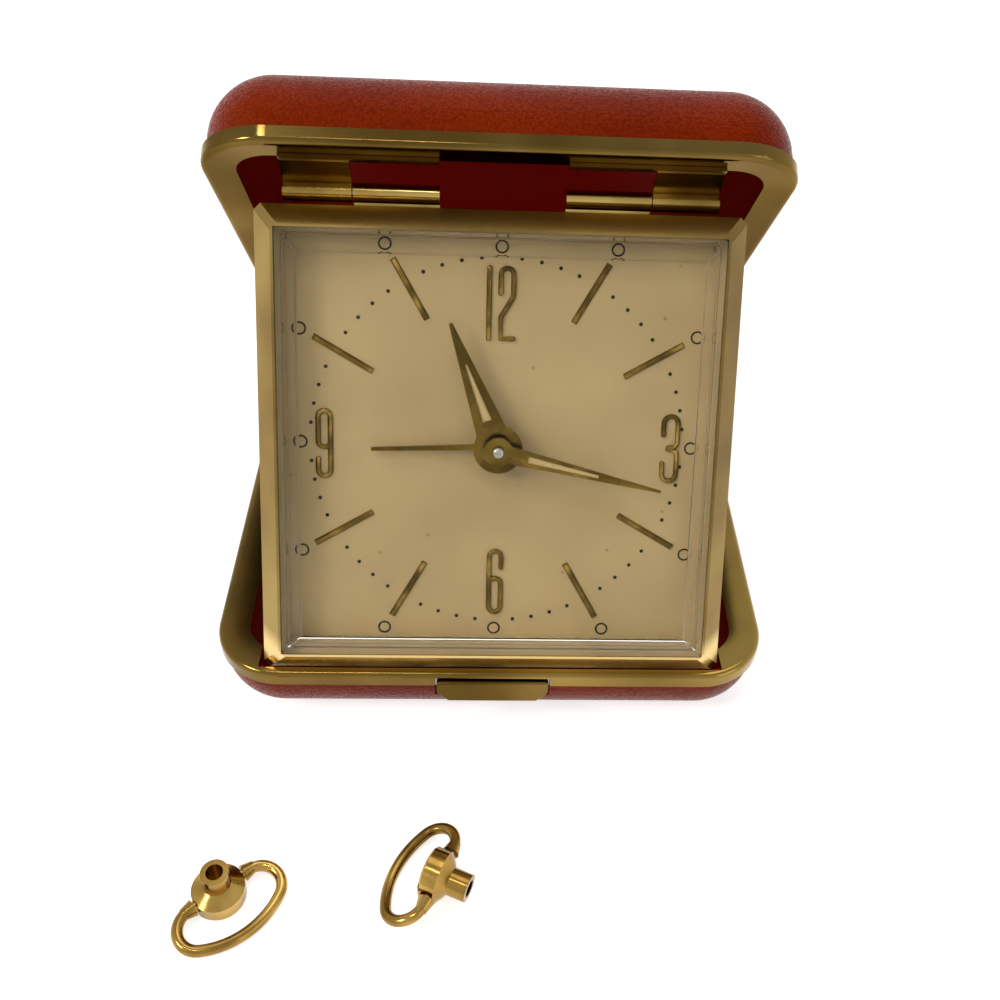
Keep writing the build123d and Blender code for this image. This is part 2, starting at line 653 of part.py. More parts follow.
back_cover = make_back_cover()
SCREW_START = PLATE_BACK + 1.5
back_cover_screws = Compound(children=[
    disc(point, SCREW_RADIUS, SCREW_START, CASE_BACK) + disc(point, SCREW_HEAD, CASE_BACK, CASE_BACK + 0.5)
    for point in POST_POINTS
])


def make_clock_knuckles():
    """A leaf on the top wall behind the bezel, rising into a knuckle above it."""
    wall = BAND_HEIGHT / 2
    depth = AXIS_BEHIND

    def solid(points):
        return Pos(HINGE_INNER, 0, 0) * extrude(Plane.YZ * make_face(Polyline(*points, close=True)),
                                                amount=HINGE_MIDDLE - HINGE_INNER)

    leaf_back = -depth - 7
    web_front = -BEZEL_SIDE - 0.2
    web_back = -depth - KNUCKLE_RADIUS
    leaf = solid([(wall, web_front), (AXIS_HEIGHT, web_front), (AXIS_HEIGHT, web_back),
                  (wall + LEAF_THICKNESS, web_back), (wall + LEAF_THICKNESS, leaf_back), (wall, leaf_back)])
    knuckle = bar_x(AXIS_HEIGHT, -depth, KNUCKLE_RADIUS, HINGE_INNER, HINGE_MIDDLE)
    bore = bar_x(AXIS_HEIGHT, -depth, PIN_RADIUS + RUNNING_GAP, HINGE_INNER - 1, HINGE_MIDDLE + 1)
    return mirror_pair(leaf + knuckle - bore)


clock_knuckles = make_clock_knuckles()


# Movement plates

plate_width = BAND_WIDTH - 2 * (BAND_WALL + SEAT_GAP)
plate_height = BAND_HEIGHT - 2 * (BAND_WALL + SEAT_GAP)
front_plate = plate(plate_width, plate_height, FRONT_PLATE, PLATE_THICKNESS)
back_plate = plate(BACK_PLATE_SIZE, BACK_PLATE_SIZE, BACK_PLATE, PLATE_THICKNESS)
PIVOTS = (THIRD, FOURTH, ESCAPE, LEVER, BALANCE, STAR, HAMMER)


def bored(plate_solid, holes):
    for point, radius in holes:
        plate_solid -= disc(point, radius, 0, CASE_BACK)
    return plate_solid


shared_holes = [(point, PIVOT_RADIUS + RUNNING_GAP) for point in PIVOTS]
shared_holes += [(point, STEM_RADIUS + RUNNING_GAP) for point in (TIME_STEM, ALARM_STEM)]
shared_holes += [(point, SCREW_RADIUS + PRESS_GAP) for point in PILLAR_POINTS]
front_holes = shared_holes + [(point, SCREW_RADIUS + PRESS_GAP) for point in DIAL_FOOT_POINTS]
front_holes += [(CENTRE, ARBOR_RADIUS + RUNNING_GAP)]
front_holes += [(point, SCREW_RADIUS + RUNNING_GAP) for point in (BARREL, RINGING_BARREL)]
back_holes = shared_holes + [(CENTRE, PIVOT_RADIUS + RUNNING_GAP)]
back_holes += [(point, WINDING_RADIUS + RUNNING_GAP) for point in (BARREL, RINGING_BARREL)]
back_holes.append((STOP_BUTTON, STOP_RADIUS + RUNNING_GAP))
front_plate = bored(front_plate, front_holes)
front_plate += disc(MINUTE_STUD, STUD_RADIUS, HOUR_LAYER - 0.15, FRONT_PLATE + 0.2)
back_plate = bored(back_plate, back_holes)
PILLAR_END = BACK_PLATE + PLATE_THICKNESS
plate_pillars = Compound(children=[
    disc(point, PILLAR_RADIUS, PLATE_BACK, BACK_PLATE) + disc(point, SCREW_RADIUS, FRONT_PLATE, PILLAR_END)
    for point in PILLAR_POINTS
])


# Motion work: cannon pinion, minute wheel and hour wheel turn the hands twelve to one

def make_cannon_pinion():
    toothed = gear(CENTRE, CANNON_TEETH, MINUTE_MODULE, MINUTE_STUD_TURN, *pinion_depths(MINUTE_LAYER))
    pipe = disc(CENTRE, CANNON_RADIUS, MINUTE_HAND_DEPTH - 0.5, MINUTE_LAYER + 0.6)
    return toothed + pipe - disc(CENTRE, CENTRE_POST + RUNNING_GAP, 0.5, 10)


MINUTE_PHASE = mesh_phase(MINUTE_STUD_TURN, CANNON_TEETH, MINUTE_STUD_TURN, MINUTE_TEETH)
SETTING_PHASE = mesh_phase(MINUTE_PHASE, MINUTE_TEETH, TIME_STEM_TURN, SETTING_TEETH)
HOUR_PHASE = mesh_phase(MINUTE_STUD_TURN + 180, MINUTE_PINION, MINUTE_STUD_TURN + 180, HOUR_TEETH)
ALARM_PINION_PHASE = mesh_phase(ALARM_STEM_TURN, ALARM_TEETH, ALARM_STEM_TURN, ALARM_PINION)


def make_minute_wheel():
    wheel = gear(MINUTE_STUD, MINUTE_TEETH, MINUTE_MODULE, MINUTE_PHASE, *wheel_depths(MINUTE_LAYER))
    pinion_turn = MINUTE_STUD_TURN + 180
    pinion_ends = (HOUR_LAYER - PINION_OVER, MINUTE_LAYER + PINION_OVER)
    pinion = gear(MINUTE_STUD, MINUTE_PINION, HOUR_MODULE, pinion_turn, *pinion_ends)
    return wheel + pinion - disc(MINUTE_STUD, STUD_RADIUS + RUNNING_GAP, 0, 10)


def make_hour_wheel():
    wheel = gear(CENTRE, HOUR_TEETH, HOUR_MODULE, HOUR_PHASE, *wheel_depths(HOUR_LAYER))
    pipe = disc(CENTRE, HOUR_TUBE_RADIUS, HOUR_HAND_DEPTH - 0.1, HOUR_LAYER + WHEEL_THICKNESS)
    return wheel + pipe - disc(CENTRE, CANNON_RADIUS + RUNNING_GAP, -5, 10)


def make_alarm_wheel():
    wheel = gear(CENTRE, ALARM_TEETH, ALARM_MODULE, ALARM_STEM_TURN, *wheel_depths(ALARM_LAYER))
    pipe = disc(CENTRE, ALARM_TUBE_RADIUS, ALARM_HAND_DEPTH - 0.1, ALARM_LAYER + WHEEL_THICKNESS)
    return wheel + pipe - disc(CENTRE, HOUR_TUBE_RADIUS + RUNNING_GAP, -5, 10)


cannon_pinion = make_cannon_pinion()
minute_wheel = make_minute_wheel()
hour_wheel = make_hour_wheel()
alarm_wheel = make_alarm_wheel()


def setting_stem(centre, teeth, module, phase, layer):
    stem = disc(centre, STEM_RADIUS, layer - 0.15, CASE_BACK + KNOB_HEIGHT)
    return stem + gear(centre, teeth, module, phase, *pinion_depths(layer))


def setting_knob(centre):
    """A knob with flutes round its edge, on the end of a stem."""
    knob = disc(centre, KNOB_RADIUS, CASE_BACK + KNOB_GAP, CASE_BACK + KNOB_GAP + KNOB_HEIGHT)
    knob = fillet(knob.faces().sort_by(Axis.Z)[0].edges(), 0.5)
    for flute in range(KNOB_FLUTES):
        groove = along(centre, 360 / KNOB_FLUTES * flute, KNOB_RADIUS + 0.1)
        knob -= disc(groove, 0.28, CASE_BACK, CASE_BACK + KNOB_HEIGHT + 1)
    return knob - disc(centre, STEM_RADIUS + PRESS_GAP, CASE_BACK, CASE_BACK + KNOB_HEIGHT + PRESS_GAP)


time_stem = setting_stem(TIME_STEM, SETTING_TEETH, MINUTE_MODULE, SETTING_PHASE, MINUTE_LAYER)
alarm_stem = setting_stem(ALARM_STEM, ALARM_PINION, ALARM_MODULE, ALARM_PINION_PHASE, ALARM_LAYER)
time_knob = setting_knob(TIME_STEM)
alarm_knob = setting_knob(ALARM_STEM)


# Hands, drawn pointing at twelve and turned clockwise to the time shown

def tapered(root, tip, root_width, tip_width):
    """The four corners of a long taper that points up."""
    half_root = root_width / 2
    half_tip = tip_width / 2
    points = [(-half_root, root), (half_root, root), (half_tip, tip), (-half_tip, tip)]
    return make_face(Polyline(*points, close=True))


def hand(blade, hub_radius, bore, depth, angle):
    """A flat hand from its blade, with a round hub bored for its pipe."""
    outline = blade + Circle(hub_radius) - Circle(bore + PRESS_GAP)
    return Rot(0, 0, -angle) * Pos(0, 0, -depth - HAND_THICKNESS) * extrude(outline, amount=HAND_THICKNESS)


# The long hands are pierced with a slot for the luminous filling
minute_blade = tapered(1.0, MINUTE_LENGTH, 2.5, 0.35) - tapered(4.2, 14.2, 0.95, 0.45)
hour_blade = tapered(2.0, HOUR_LENGTH, 4.4, 0.5) - tapered(4.3, 12.6, 1.3, 0.3)
alarm_blade = tapered(1.0, ALARM_LENGTH, 0.9, 0.5)
minute_hand = hand(minute_blade, 2.0, CANNON_RADIUS, MINUTE_HAND_DEPTH, MINUTE_ANGLE)
hour_hand = hand(hour_blade, 3.4, HOUR_TUBE_RADIUS, HOUR_HAND_DEPTH, HOUR_ANGLE)
alarm_hand = hand(alarm_blade, 2.4, ALARM_TUBE_RADIUS, ALARM_HAND_DEPTH, ALARM_ANGLE)


# Going train: barrel, centre, third, fourth and escape wheels, lever and balance

SPRING_FRONT = BARREL_FRONT + BARREL_FACE + SPRING_GAP
SPRING_BACK = BARREL_BACK - BARREL_WALL - SPRING_GAP
BARREL_TEETH_FRONT = BARREL_BACK - BARREL_FACE
BARREL_PINION_ENDS = (BARREL_TEETH_FRONT - PINION_OVER, BARREL_BACK + PINION_OVER)


def drum(centre, teeth, body_radius):
    """A spring barrel: a hollow drum with teeth round one end and a bore for its arbor."""
    body = disc(centre, body_radius, BARREL_FRONT, BARREL_BACK)
    hollow = disc(centre, body_radius - BARREL_WALL, BARREL_FRONT + BARREL_FACE, BARREL_BACK - BARREL_WALL)
    toothed = gear(centre, teeth, BARREL_MODULE, 0, BARREL_TEETH_FRONT, BARREL_BACK)
    return body + toothed - hollow - disc(centre, WINDING_RADIUS + RUNNING_GAP, 5, 15)


def spiral(centre, inner, outer, turns, width):
    """A flat ribbon's outline, wound outward in steps of thirty degrees."""
    steps = turns * 12
    growth = (outer - inner) / steps
    outside = [along(centre, 30 * i, inner + growth * i + width) for i in range(steps + 1)]
    inside = [along(centre, 30 * i, inner + growth * i) for i in range(steps, -1, -1)]
    return make_face(Polyline(*(outside + inside), close=True))


def coiled_spring(centre, inner, outer, turns):
    """A mainspring that lies wound inside its barrel."""
    ribbon = spiral(centre, inner, outer, turns, 0.2)
    return Pos(0, 0, -SPRING_BACK) * extrude(ribbon, amount=SPRING_BACK - SPRING_FRONT)


def winding_arbor(centre):
    hook = disc(centre, 1.6, SPRING_FRONT, SPRING_BACK)
    front_pivot = disc(centre, SCREW_RADIUS, FRONT_PLATE + 0.1, WINDING_END)
    return disc(centre, WINDING_RADIUS, PLATE_BACK + 0.1, WINDING_END) + hook + front_pivot


time_barrel = drum(BARREL, BARREL_TEETH, 8.3)
ringing_barrel = drum(RINGING_BARREL, RINGING_TEETH, 6.8)
time_spring = coiled_spring(BARREL, 2.3, 7.3, 5)
ringing_spring = coiled_spring(RINGING_BARREL, 2.3, 5.8, 4)
time_winding_arbor = winding_arbor(BARREL)
ringing_winding_arbor = winding_arbor(RINGING_BARREL)


def train_wheel(centre, teeth, module, turn, layer):
    """A wheel with four crossing holes, one tooth along a turn."""
    toothed = gear(centre, teeth, module, turn, *wheel_depths(layer))
    return spoked(centre, toothed, teeth * module / 2 - WHEEL_RIM, WHEEL_HUB, *wheel_depths(layer))


CENTRE_PHASE = mesh_phase(0, BARREL_TEETH, BARREL_TURN - 180, CENTRE_PINION)
THIRD_PHASE = mesh_phase(THIRD_TURN, CENTRE_TEETH, THIRD_TURN, THIRD_PINION)
FOURTH_PHASE = mesh_phase(FOURTH_TURN, THIRD_TEETH, FOURTH_TURN, FOURTH_PINION)
ESCAPE_PHASE = mesh_phase(ESCAPE_TURN, FOURTH_TEETH, ESCAPE_TURN, ESCAPE_PINION)
STAR_PHASE = mesh_phase(0, RINGING_TEETH, STAR_TURN, STAR_PINION)

centre_wheel = train_wheel(CENTRE, CENTRE_TEETH, CENTRE_MODULE, THIRD_TURN, CENTRE_LAYER)
centre_wheel += gear(CENTRE, CENTRE_PINION, BARREL_MODULE, CENTRE_PHASE, *BARREL_PINION_ENDS)
centre_wheel += disc(CENTRE, CENTRE_POST, 1.0, FRONT_PLATE)
centre_wheel += disc(CENTRE, ARBOR_RADIUS, FRONT_PLATE - 0.1, BACK_PLATE - 0.1)
centre_wheel += disc(CENTRE, PIVOT_RADIUS, SPRING_BACK, BACK_PLATE + PLATE_THICKNESS - 0.1)
third_wheel = train_wheel(THIRD, THIRD_TEETH, THIRD_MODULE, FOURTH_TURN, THIRD_LAYER) + arbor(THIRD)
third_wheel += gear(THIRD, THIRD_PINION, CENTRE_MODULE, THIRD_PHASE, *pinion_depths(CENTRE_LAYER))
fourth_wheel = train_wheel(FOURTH, FOURTH_TEETH, FOURTH_MODULE, ESCAPE_TURN, FOURTH_LAYER) + arbor(FOURTH)
fourth_wheel += gear(FOURTH, FOURTH_PINION, THIRD_MODULE, FOURTH_PHASE, *pinion_depths(THIRD_LAYER))


def pointed_wheel(centre, teeth, radius, depth, lean, front, back):
    """A wheel of pointed teeth that lean one way, as on an escape wheel."""
    points = []
    for tooth in range(teeth):
        turn = 360 / teeth * tooth
        points.append(along(centre, turn, radius - depth))
        points.append(along(centre, turn + lean, radius))
        points.append(along(centre, turn + lean + 2, radius))
        points.append(along(centre, turn + lean + 4, radius - depth))
    return Pos(0, 0, -back) * extrude(make_face(Polyline(*points, close=True)), amount=back - front)


escape_wheel = pointed_wheel(ESCAPE, ESCAPE_TEETH, ESCAPE_RADIUS, 1.1, 9, *wheel_depths(ESCAPE_LAYER))
escape_wheel += arbor(ESCAPE, 0.42)
escape_wheel += gear(ESCAPE, ESCAPE_PINION, FOURTH_MODULE, ESCAPE_PHASE, *pinion_depths(FOURTH_LAYER))


def flat_arm(centre, turn, start, end, width, layer):
    """A flat arm in a wheel layer, from one distance to another along a turn."""
    strip = Pos((start + end) / 2, 0, 0) * extrude(Rectangle(end - start, width), amount=WHEEL_THICKNESS)
    return Pos(centre[0], centre[1], -layer - WHEEL_THICKNESS) * Rot(0, 0, turn) * strip


def make_pallet_lever():
    """Pallet lever: two pallet pins beside the escape wheel, a tail to the balance."""
    crossing = along(LEVER, 90, 0.9)
    lever = flat_arm(crossing, 0, -3.2, 3.2, 0.8, ESCAPE_LAYER)
    lever += flat_arm(LEVER, 90, -0.3, 1.1, 1.4, ESCAPE_LAYER)
    lever += flat_arm(LEVER, BALANCE_TURN, 0, 5.2, 0.7, ESCAPE_LAYER)
    for side in (-2.9, 2.9):
        lever += disc(along(crossing, 0, side), 0.25, ESCAPE_LAYER - 0.6, ESCAPE_LAYER + WHEEL_THICKNESS)
    return lever + arbor(LEVER, 0.45)


def make_balance():
    """Balance wheel: a heavy ring on two arms, a staff and a small roller."""
    ring = tube(BALANCE, 6.2, 5.3, BALANCE_LAYER, BALANCE_LAYER + 0.7)
    arms = flat_arm(BALANCE, 0, -5.5, 5.5, 0.9, BALANCE_LAYER + 0.15)
    roller = disc(BALANCE, 1.1, ESCAPE_LAYER + 0.1, ESCAPE_LAYER + 0.5)
    return ring + arms + roller + arbor(BALANCE, 0.5)


pallet_lever = make_pallet_lever()
balance_wheel = make_balance()


def make_hairspring():
    """A flat spiral round the balance staff, its outer end pinned to a stud on the back plate."""
    coil = Pos(0, 0, -HAIRSPRING_LAYER - 0.25) * extrude(spiral(BALANCE, 1.2, 3.8, 6, 0.12), amount=0.25)
    return coil + disc(along(BALANCE, 0, 3.86), 0.35, HAIRSPRING_LAYER - 0.05, BACK_PLATE)


hairspring = make_hairspring()


def make_regulator():
    """A lever round the balance pivot outside the back plate, its tip bent out through the cover."""
    front = BACK_PLATE + PLATE_THICKNESS + 0.1
    ring = tube(BALANCE, 1.8, 0.8, front, front + 0.4)
    arm = Pos(BALANCE[0] + 4.6, BALANCE[1], 0) * plate(6.6, 1.0, front, 0.4)
    tip = Pos(BALANCE[0] + REGULATOR_REACH, BALANCE[1], 0) * plate(0.8, 1.0, front, CASE_BACK + 0.8 - front)
    return ring + arm + tip


regulator_lever = make_regulator()


# Ringing work: star wheel, hammer and stop button

star_wheel = pointed_wheel(STAR, STAR_TEETH, STAR_RADIUS, 0.9, 11, *wheel_depths(STAR_LAYER)) + arbor(STAR)
star_wheel += gear(STAR, STAR_PINION, BARREL_MODULE, STAR_PHASE, *BARREL_PINION_ENDS)


def make_hammer():
    """Alarm hammer: a pallet arm beside the star wheel and a weighted head by the case wall."""
    pallet_arm = flat_arm(HAMMER, HAMMER_TURN + 180, 0, 4.0, 0.8, STAR_LAYER)
    shank = flat_arm(HAMMER, 55, 0, 6.4, 0.9, STAR_LAYER)
    head = disc(along(HAMMER, 55, 7.0), 1.6, STAR_LAYER, STAR_LAYER + 2.1)
    return arbor(HAMMER, 0.5) + pallet_arm + shank + head


alarm_hammer = make_hammer()
alarm_stop_button = disc(STOP_BUTTON, STOP_RADIUS, 11.0, CASE_BACK + 3.6)
alarm_stop_button += disc(STOP_BUTTON, 2.2, CASE_BACK + 2.4, CASE_BACK + 3.8)


# Keys, drawn with the hub's axis up and the loop's pivot along X

def key_hub():
    """Turned hub: disc, sloping shoulder, sleeve with a blind bore, and a cross hole for the loop."""
    bore = WINDING_RADIUS + KEY_PLAY
    shoulder = KEY_DISC_HEIGHT - 0.9
    bore_end = KEY_DISC_HEIGHT - 0.8
    profile = Polyline(
        (0, 0), (KEY_DISC_RADIUS - 0.3, 0), (KEY_DISC_RADIUS, 0.3), (KEY_DISC_RADIUS, shoulder),
        (KEY_SLEEVE_RADIUS + 0.3, KEY_DISC_HEIGHT), (KEY_SLEEVE_RADIUS, KEY_DISC_HEIGHT + 0.2),
        (KEY_SLEEVE_RADIUS, KEY_LENGTH), (bore, KEY_LENGTH), (bore, bore_end), (0, bore_end), close=True,
    )
    hub = revolve(Plane.XZ * make_face(profile), axis=Axis.Z)
    hole_start = KEY_DISC_RADIUS - PIVOT_DEPTH
    pivot_hole = bar_x(0, KEY_PIVOT, WIRE_RADIUS + RUNNING_GAP, hole_start, KEY_DISC_RADIUS + 1)
    return hub - pivot_hole - mirror(pivot_hole, about=Plane.YZ)


def key_loop():
    """A wire loop whose ends turn in to the hub's cross hole, thicker where they meet it."""
    start = KEY_DISC_RADIUS + 0.9
    side_bend = LOOP_HALF_WIDTH - start
    far_bend = (start + side_bend * sin(radians(LOOP_TURN))) / sin(radians(180 - LOOP_TURN))
    right_side = JernArc((start, 0), (1, 0), side_bend, LOOP_TURN)
    far_side = JernArc(right_side @ 1, right_side % 1, far_bend, 2 * (180 - LOOP_TURN))
    left_side = JernArc(far_side @ 1, far_side % 1, side_bend, LOOP_TURN)
    path = Wire([right_side.edge(), far_side.edge(), left_side.edge()])
    wire = sweep(Plane(origin=path @ 0, z_dir=path % 0) * Circle(WIRE_RADIUS), path=path)
    ear = Pos(KEY_DISC_RADIUS + 0.2, 0, 0) * Rot(0, 90, 0) * Cone(
        WIRE_EAR, WIRE_RADIUS, EAR_LENGTH, align=(Align.CENTER, Align.CENTER, Align.MIN))
    pin = bar_x(0, 0, WIRE_RADIUS, KEY_DISC_RADIUS - PIVOT_DEPTH + 0.2, KEY_DISC_RADIUS + 1)
    return wire + mirror_pair(ear + pin)


hub_solid = key_hub()
loop_solid = key_loop()
LOOP_REACH = loop_solid.bounding_box().max.Y - WIRE_RADIUS
LEFT_DROP = degrees(asin((KEY_PIVOT - WIRE_RADIUS) / LOOP_REACH))
RIGHT_DROP = degrees(asin((KEY_DISC_RADIUS - WIRE_RADIUS) / LOOP_REACH))
LEFT_PLACE = Pos(LEFT_KEY[0], LEFT_KEY[1], 0) * Rot(0, 0, LEFT_KEY_TURN)
left_key_hub = LEFT_PLACE * hub_solid
left_key_loop = LEFT_PLACE * Pos(0, 0, KEY_PIVOT) * Rot(-LEFT_DROP, 0, 0) * loop_solid
RIGHT_AXIS = along(CENTRE, RIGHT_KEY_TURN, 1)
RIGHT_PIVOT = along(CENTRE, RIGHT_KEY_TURN + 90, 1)
RIGHT_PLACE = Plane(
    (RIGHT_KEY[0], RIGHT_KEY[1], KEY_DISC_RADIUS), x_dir=(*RIGHT_PIVOT, 0), z_dir=(*RIGHT_AXIS, 0)
).location
right_key_hub = RIGHT_PLACE * hub_solid
right_key_loop = RIGHT_PLACE * Pos(0, 0, KEY_PIVOT) * Rot(-90 - RIGHT_DROP, 0, 0) * loop_solid

CLOCK_NODES = {
    "bezel": bezel,
    "crystal": crystal,
    "dial_ring": dial_ring,
    "dial": dial,
    "hour_batons": hour_batons,
    "dial_feet": dial_feet,
    "case_band": case_band,
    "back_cover": back_cover,
    "back_cover_screws": back_cover_screws,
    "clock_knuckles": clock_knuckles,
    "front_plate": front_plate,
    "back_plate": back_plate,
    "plate_pillars": plate_pillars,
    "minute_hand": minute_hand,
    "cannon_pinion": cannon_pinion,
    "hour_hand": hour_hand,
    "hour_wheel": hour_wheel,
    "minute_wheel": minute_wheel,
    "alarm_hand": alarm_hand,
    "alarm_wheel": alarm_wheel,
    "time_stem": time_stem,
    "time_knob": time_knob,
    "alarm_stem": alarm_stem,
    "alarm_knob": alarm_knob,
    "time_barrel": time_barrel,
    "time_spring": time_spring,
    "time_winding_arbor": time_winding_arbor,
    "ringing_barrel": ringing_barrel,
    "ringing_spring": ringing_spring,
    "ringing_winding_arbor": ringing_winding_arbor,
    "centre_wheel": centre_wheel,
    "third_wheel": third_wheel,
    "fourth_wheel": fourth_wheel,
    "escape_wheel": escape_wheel,
    "pallet_lever": pallet_lever,
    "balance_wheel": balance_wheel,
    "hairspring": hairspring,
    "regulator_lever": regulator_lever,
    "star_wheel": star_wheel,
    "alarm_hammer": alarm_hammer,
    "alarm_stop_button": alarm_stop_button,
}
CASE_NODES = {
    "base_cover": base_cover,
    "base_tray": base_tray,
    "base_lining": base_lining,
    "base_rim": base_rim,
    "base_hinge_leaf": base_hinge_leaf,
    "rear_hinge_pin": rear_hinge_pin,
    "catch_plate": catch_plate,
    "catch_spring": catch_spring,
    "lid_cover": lid_cover,
    "lid_tray": lid_tray,
    "lid_lining": lid_lining,
    "lid_rim": lid_rim,
    "lid_hinge_leaf": lid_hinge_leaf,
    "lid_straps": lid_straps,
    "lid_strap_pins": lid_strap_pins,
    "left_key_hub": left_key_hub,
    "left_key_loop": left_key_loop,
    "right_key_hub": right_key_hub,
    "right_key_loop": right_key_loop,
}

os.makedirs("parts", exist_ok=True)
for name, shape in CASE_NODES.items():
    export_step(shape, f"parts/{name}.step")
for name, shape in CLOCK_NODES.items():
    export_step(CLOCK_PLACE * shape, f"parts/{name}.step")
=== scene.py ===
"""Looks of the folding travel alarm clock: finishes, dial printing, raised numerals, crystal, hand faces and studio."""
import json
import math

import bmesh
import bpy
from mathutils import Matrix, Vector


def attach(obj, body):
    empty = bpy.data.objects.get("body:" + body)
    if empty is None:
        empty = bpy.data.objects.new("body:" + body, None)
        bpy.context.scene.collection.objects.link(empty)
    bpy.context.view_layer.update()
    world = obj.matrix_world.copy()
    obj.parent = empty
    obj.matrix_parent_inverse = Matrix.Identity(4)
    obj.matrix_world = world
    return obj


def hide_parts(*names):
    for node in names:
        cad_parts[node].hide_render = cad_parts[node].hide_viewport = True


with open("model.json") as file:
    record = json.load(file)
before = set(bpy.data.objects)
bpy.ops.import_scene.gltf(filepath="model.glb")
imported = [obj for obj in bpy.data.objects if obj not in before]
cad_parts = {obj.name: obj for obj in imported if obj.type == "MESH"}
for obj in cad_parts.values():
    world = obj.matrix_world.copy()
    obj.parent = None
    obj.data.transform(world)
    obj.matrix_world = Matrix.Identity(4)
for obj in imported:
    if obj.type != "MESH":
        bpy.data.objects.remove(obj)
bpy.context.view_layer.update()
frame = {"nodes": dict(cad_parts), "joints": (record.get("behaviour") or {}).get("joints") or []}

MM = 0.001
SCENE = bpy.context.scene
MIX_A, MIX_B, MIXED = 6, 7, 2  # a Mix node's two colour inputs and its colour output


def linear(code):
    """An sRGB hex colour as the linear RGBA that shaders take."""
    channels = [int(code[i:i + 2], 16) / 255 for i in (1, 3, 5)]
    return [c / 12.92 if c <= 0.04045 else ((c + 0.055) / 1.055) ** 2.4 for c in channels] + [1.0]


def add(tree, kind, settings=None, inputs=None, stops=()):
    """One node: its settings, its inputs, each a constant or another node's output, and a ramp's (place, hex) stops."""
    made = tree.nodes.new(kind)
    for name, value in (settings or {}).items():
        setattr(made, name, value)
    for name, value in (inputs or {}).items():
        if isinstance(value, bpy.types.NodeSocket):
            tree.links.new(value, made.inputs[name])
        else:
            made.inputs[name].default_value = value
    if stops:
        for _ in stops[2:]:
            made.color_ramp.elements.new(0.5)
        for element, (position, code) in zip(made.color_ramp.elements, stops):
            element.position = position
            element.color = linear(code)
    return made


def new_material(name):
    """An empty material: its node tree, its shader and its object coordinates."""
    material = bpy.data.materials.new(name)
    material.use_nodes = True
    tree = material.node_tree
    tree.nodes.clear()
    shader = add(tree, "ShaderNodeBsdfPrincipled")
    output = add(tree, "ShaderNodeOutputMaterial")
    tree.links.new(shader.outputs["BSDF"], output.inputs["Surface"])
    place = add(tree, "ShaderNodeTexCoord").outputs["Object"]
    return material, tree, shader, place


# Finishes

def embossed_leatherette():
    """Red vinyl-coated cloth: pebbles about 0.4 mm across under a glossy top coat that glints on their crowns."""
    material, tree, shader, place = new_material("leatherette_embossed_red")
    pebbles = add(tree, "ShaderNodeTexVoronoi", {"feature": "SMOOTH_F1"},
                  {"Vector": place, "Scale": 1 / (0.4 * MM), "Smoothness": 0.4, "Randomness": 0.85})
    creases = add(tree, "ShaderNodeTexNoise", None,
                  {"Vector": place, "Scale": 1 / (1.6 * MM), "Detail": 4.0, "Roughness": 0.6})
    stains = add(tree, "ShaderNodeTexNoise", None,
                 {"Vector": place, "Scale": 1 / (22 * MM), "Detail": 3.0, "Roughness": 0.55})
    hue = add(tree, "ShaderNodeValToRGB", None, {"Fac": stains.outputs["Fac"]},
              [(0.3, "#7C2103"), (0.55, "#8A2804"), (0.75, "#963006")])
    # Painted shade: the colour darkens towards each pebble's edge, in the valleys between the pebbles
    shade = add(tree, "ShaderNodeValToRGB", None, {"Fac": pebbles.outputs["Distance"]},
                [(0.15, "#FFFFFF"), (0.75, "#A88C80")])
    colour = add(tree, "ShaderNodeMix", {"data_type": "RGBA", "blend_type": "MULTIPLY"},
                 {"Factor": 0.6, MIX_A: hue.outputs["Color"], MIX_B: shade.outputs["Color"]})
    tree.links.new(colour.outputs[MIXED], shader.inputs["Base Color"])
    height = add(tree, "ShaderNodeMath", {"operation": "MULTIPLY_ADD"},
                 {0: pebbles.outputs["Distance"], 1: -0.9, 2: creases.outputs["Fac"]})
    bump = add(tree, "ShaderNodeBump", None,
               {"Strength": 0.9, "Distance": 0.08 * MM, "Height": height.outputs["Value"]})
    tree.links.new(bump.outputs["Normal"], shader.inputs["Normal"])
    gloss = add(tree, "ShaderNodeMapRange", None,
                {"Value": pebbles.outputs["Distance"], "From Min": 0.1, "From Max": 0.6,
                 "To Min": 0.07, "To Max": 0.45})
    tree.links.new(gloss.outputs["Result"], shader.inputs["Roughness"])
    shader.inputs["IOR"].default_value = 1.5
    shader.inputs["Specular IOR Level"].default_value = 0.14
    shader.inputs["Specular Tint"].default_value = linear("#E07038")
    return material


def lining_paper():
    """Deep red glazed lining paper, smooth with a faint fibre."""
    material, tree, shader, place = new_material("lining_paper_glazed_red")
    fibre = add(tree, "ShaderNodeTexNoise", None,
                {"Vector": place, "Scale": 1 / (0.8 * MM), "Detail": 5.0, "Roughness": 0.7})
    hue = add(tree, "ShaderNodeValToRGB", None, {"Fac": fibre.outputs["Fac"]},
              [(0.25, "#8A0A04"), (0.75, "#A61208")])
    tree.links.new(hue.outputs["Color"], shader.inputs["Base Color"])
    bump = add(tree, "ShaderNodeBump", None,
               {"Strength": 0.2, "Distance": 0.03 * MM, "Height": fibre.outputs["Fac"]})
    tree.links.new(bump.outputs["Normal"], shader.inputs["Normal"])
    shader.inputs["Roughness"].default_value = 0.42
    shader.inputs["IOR"].default_value = 1.48
    shader.inputs["Specular IOR Level"].default_value = 0.25
    shader.inputs["Specular Tint"].default_value = linear("#E08060")
    return material


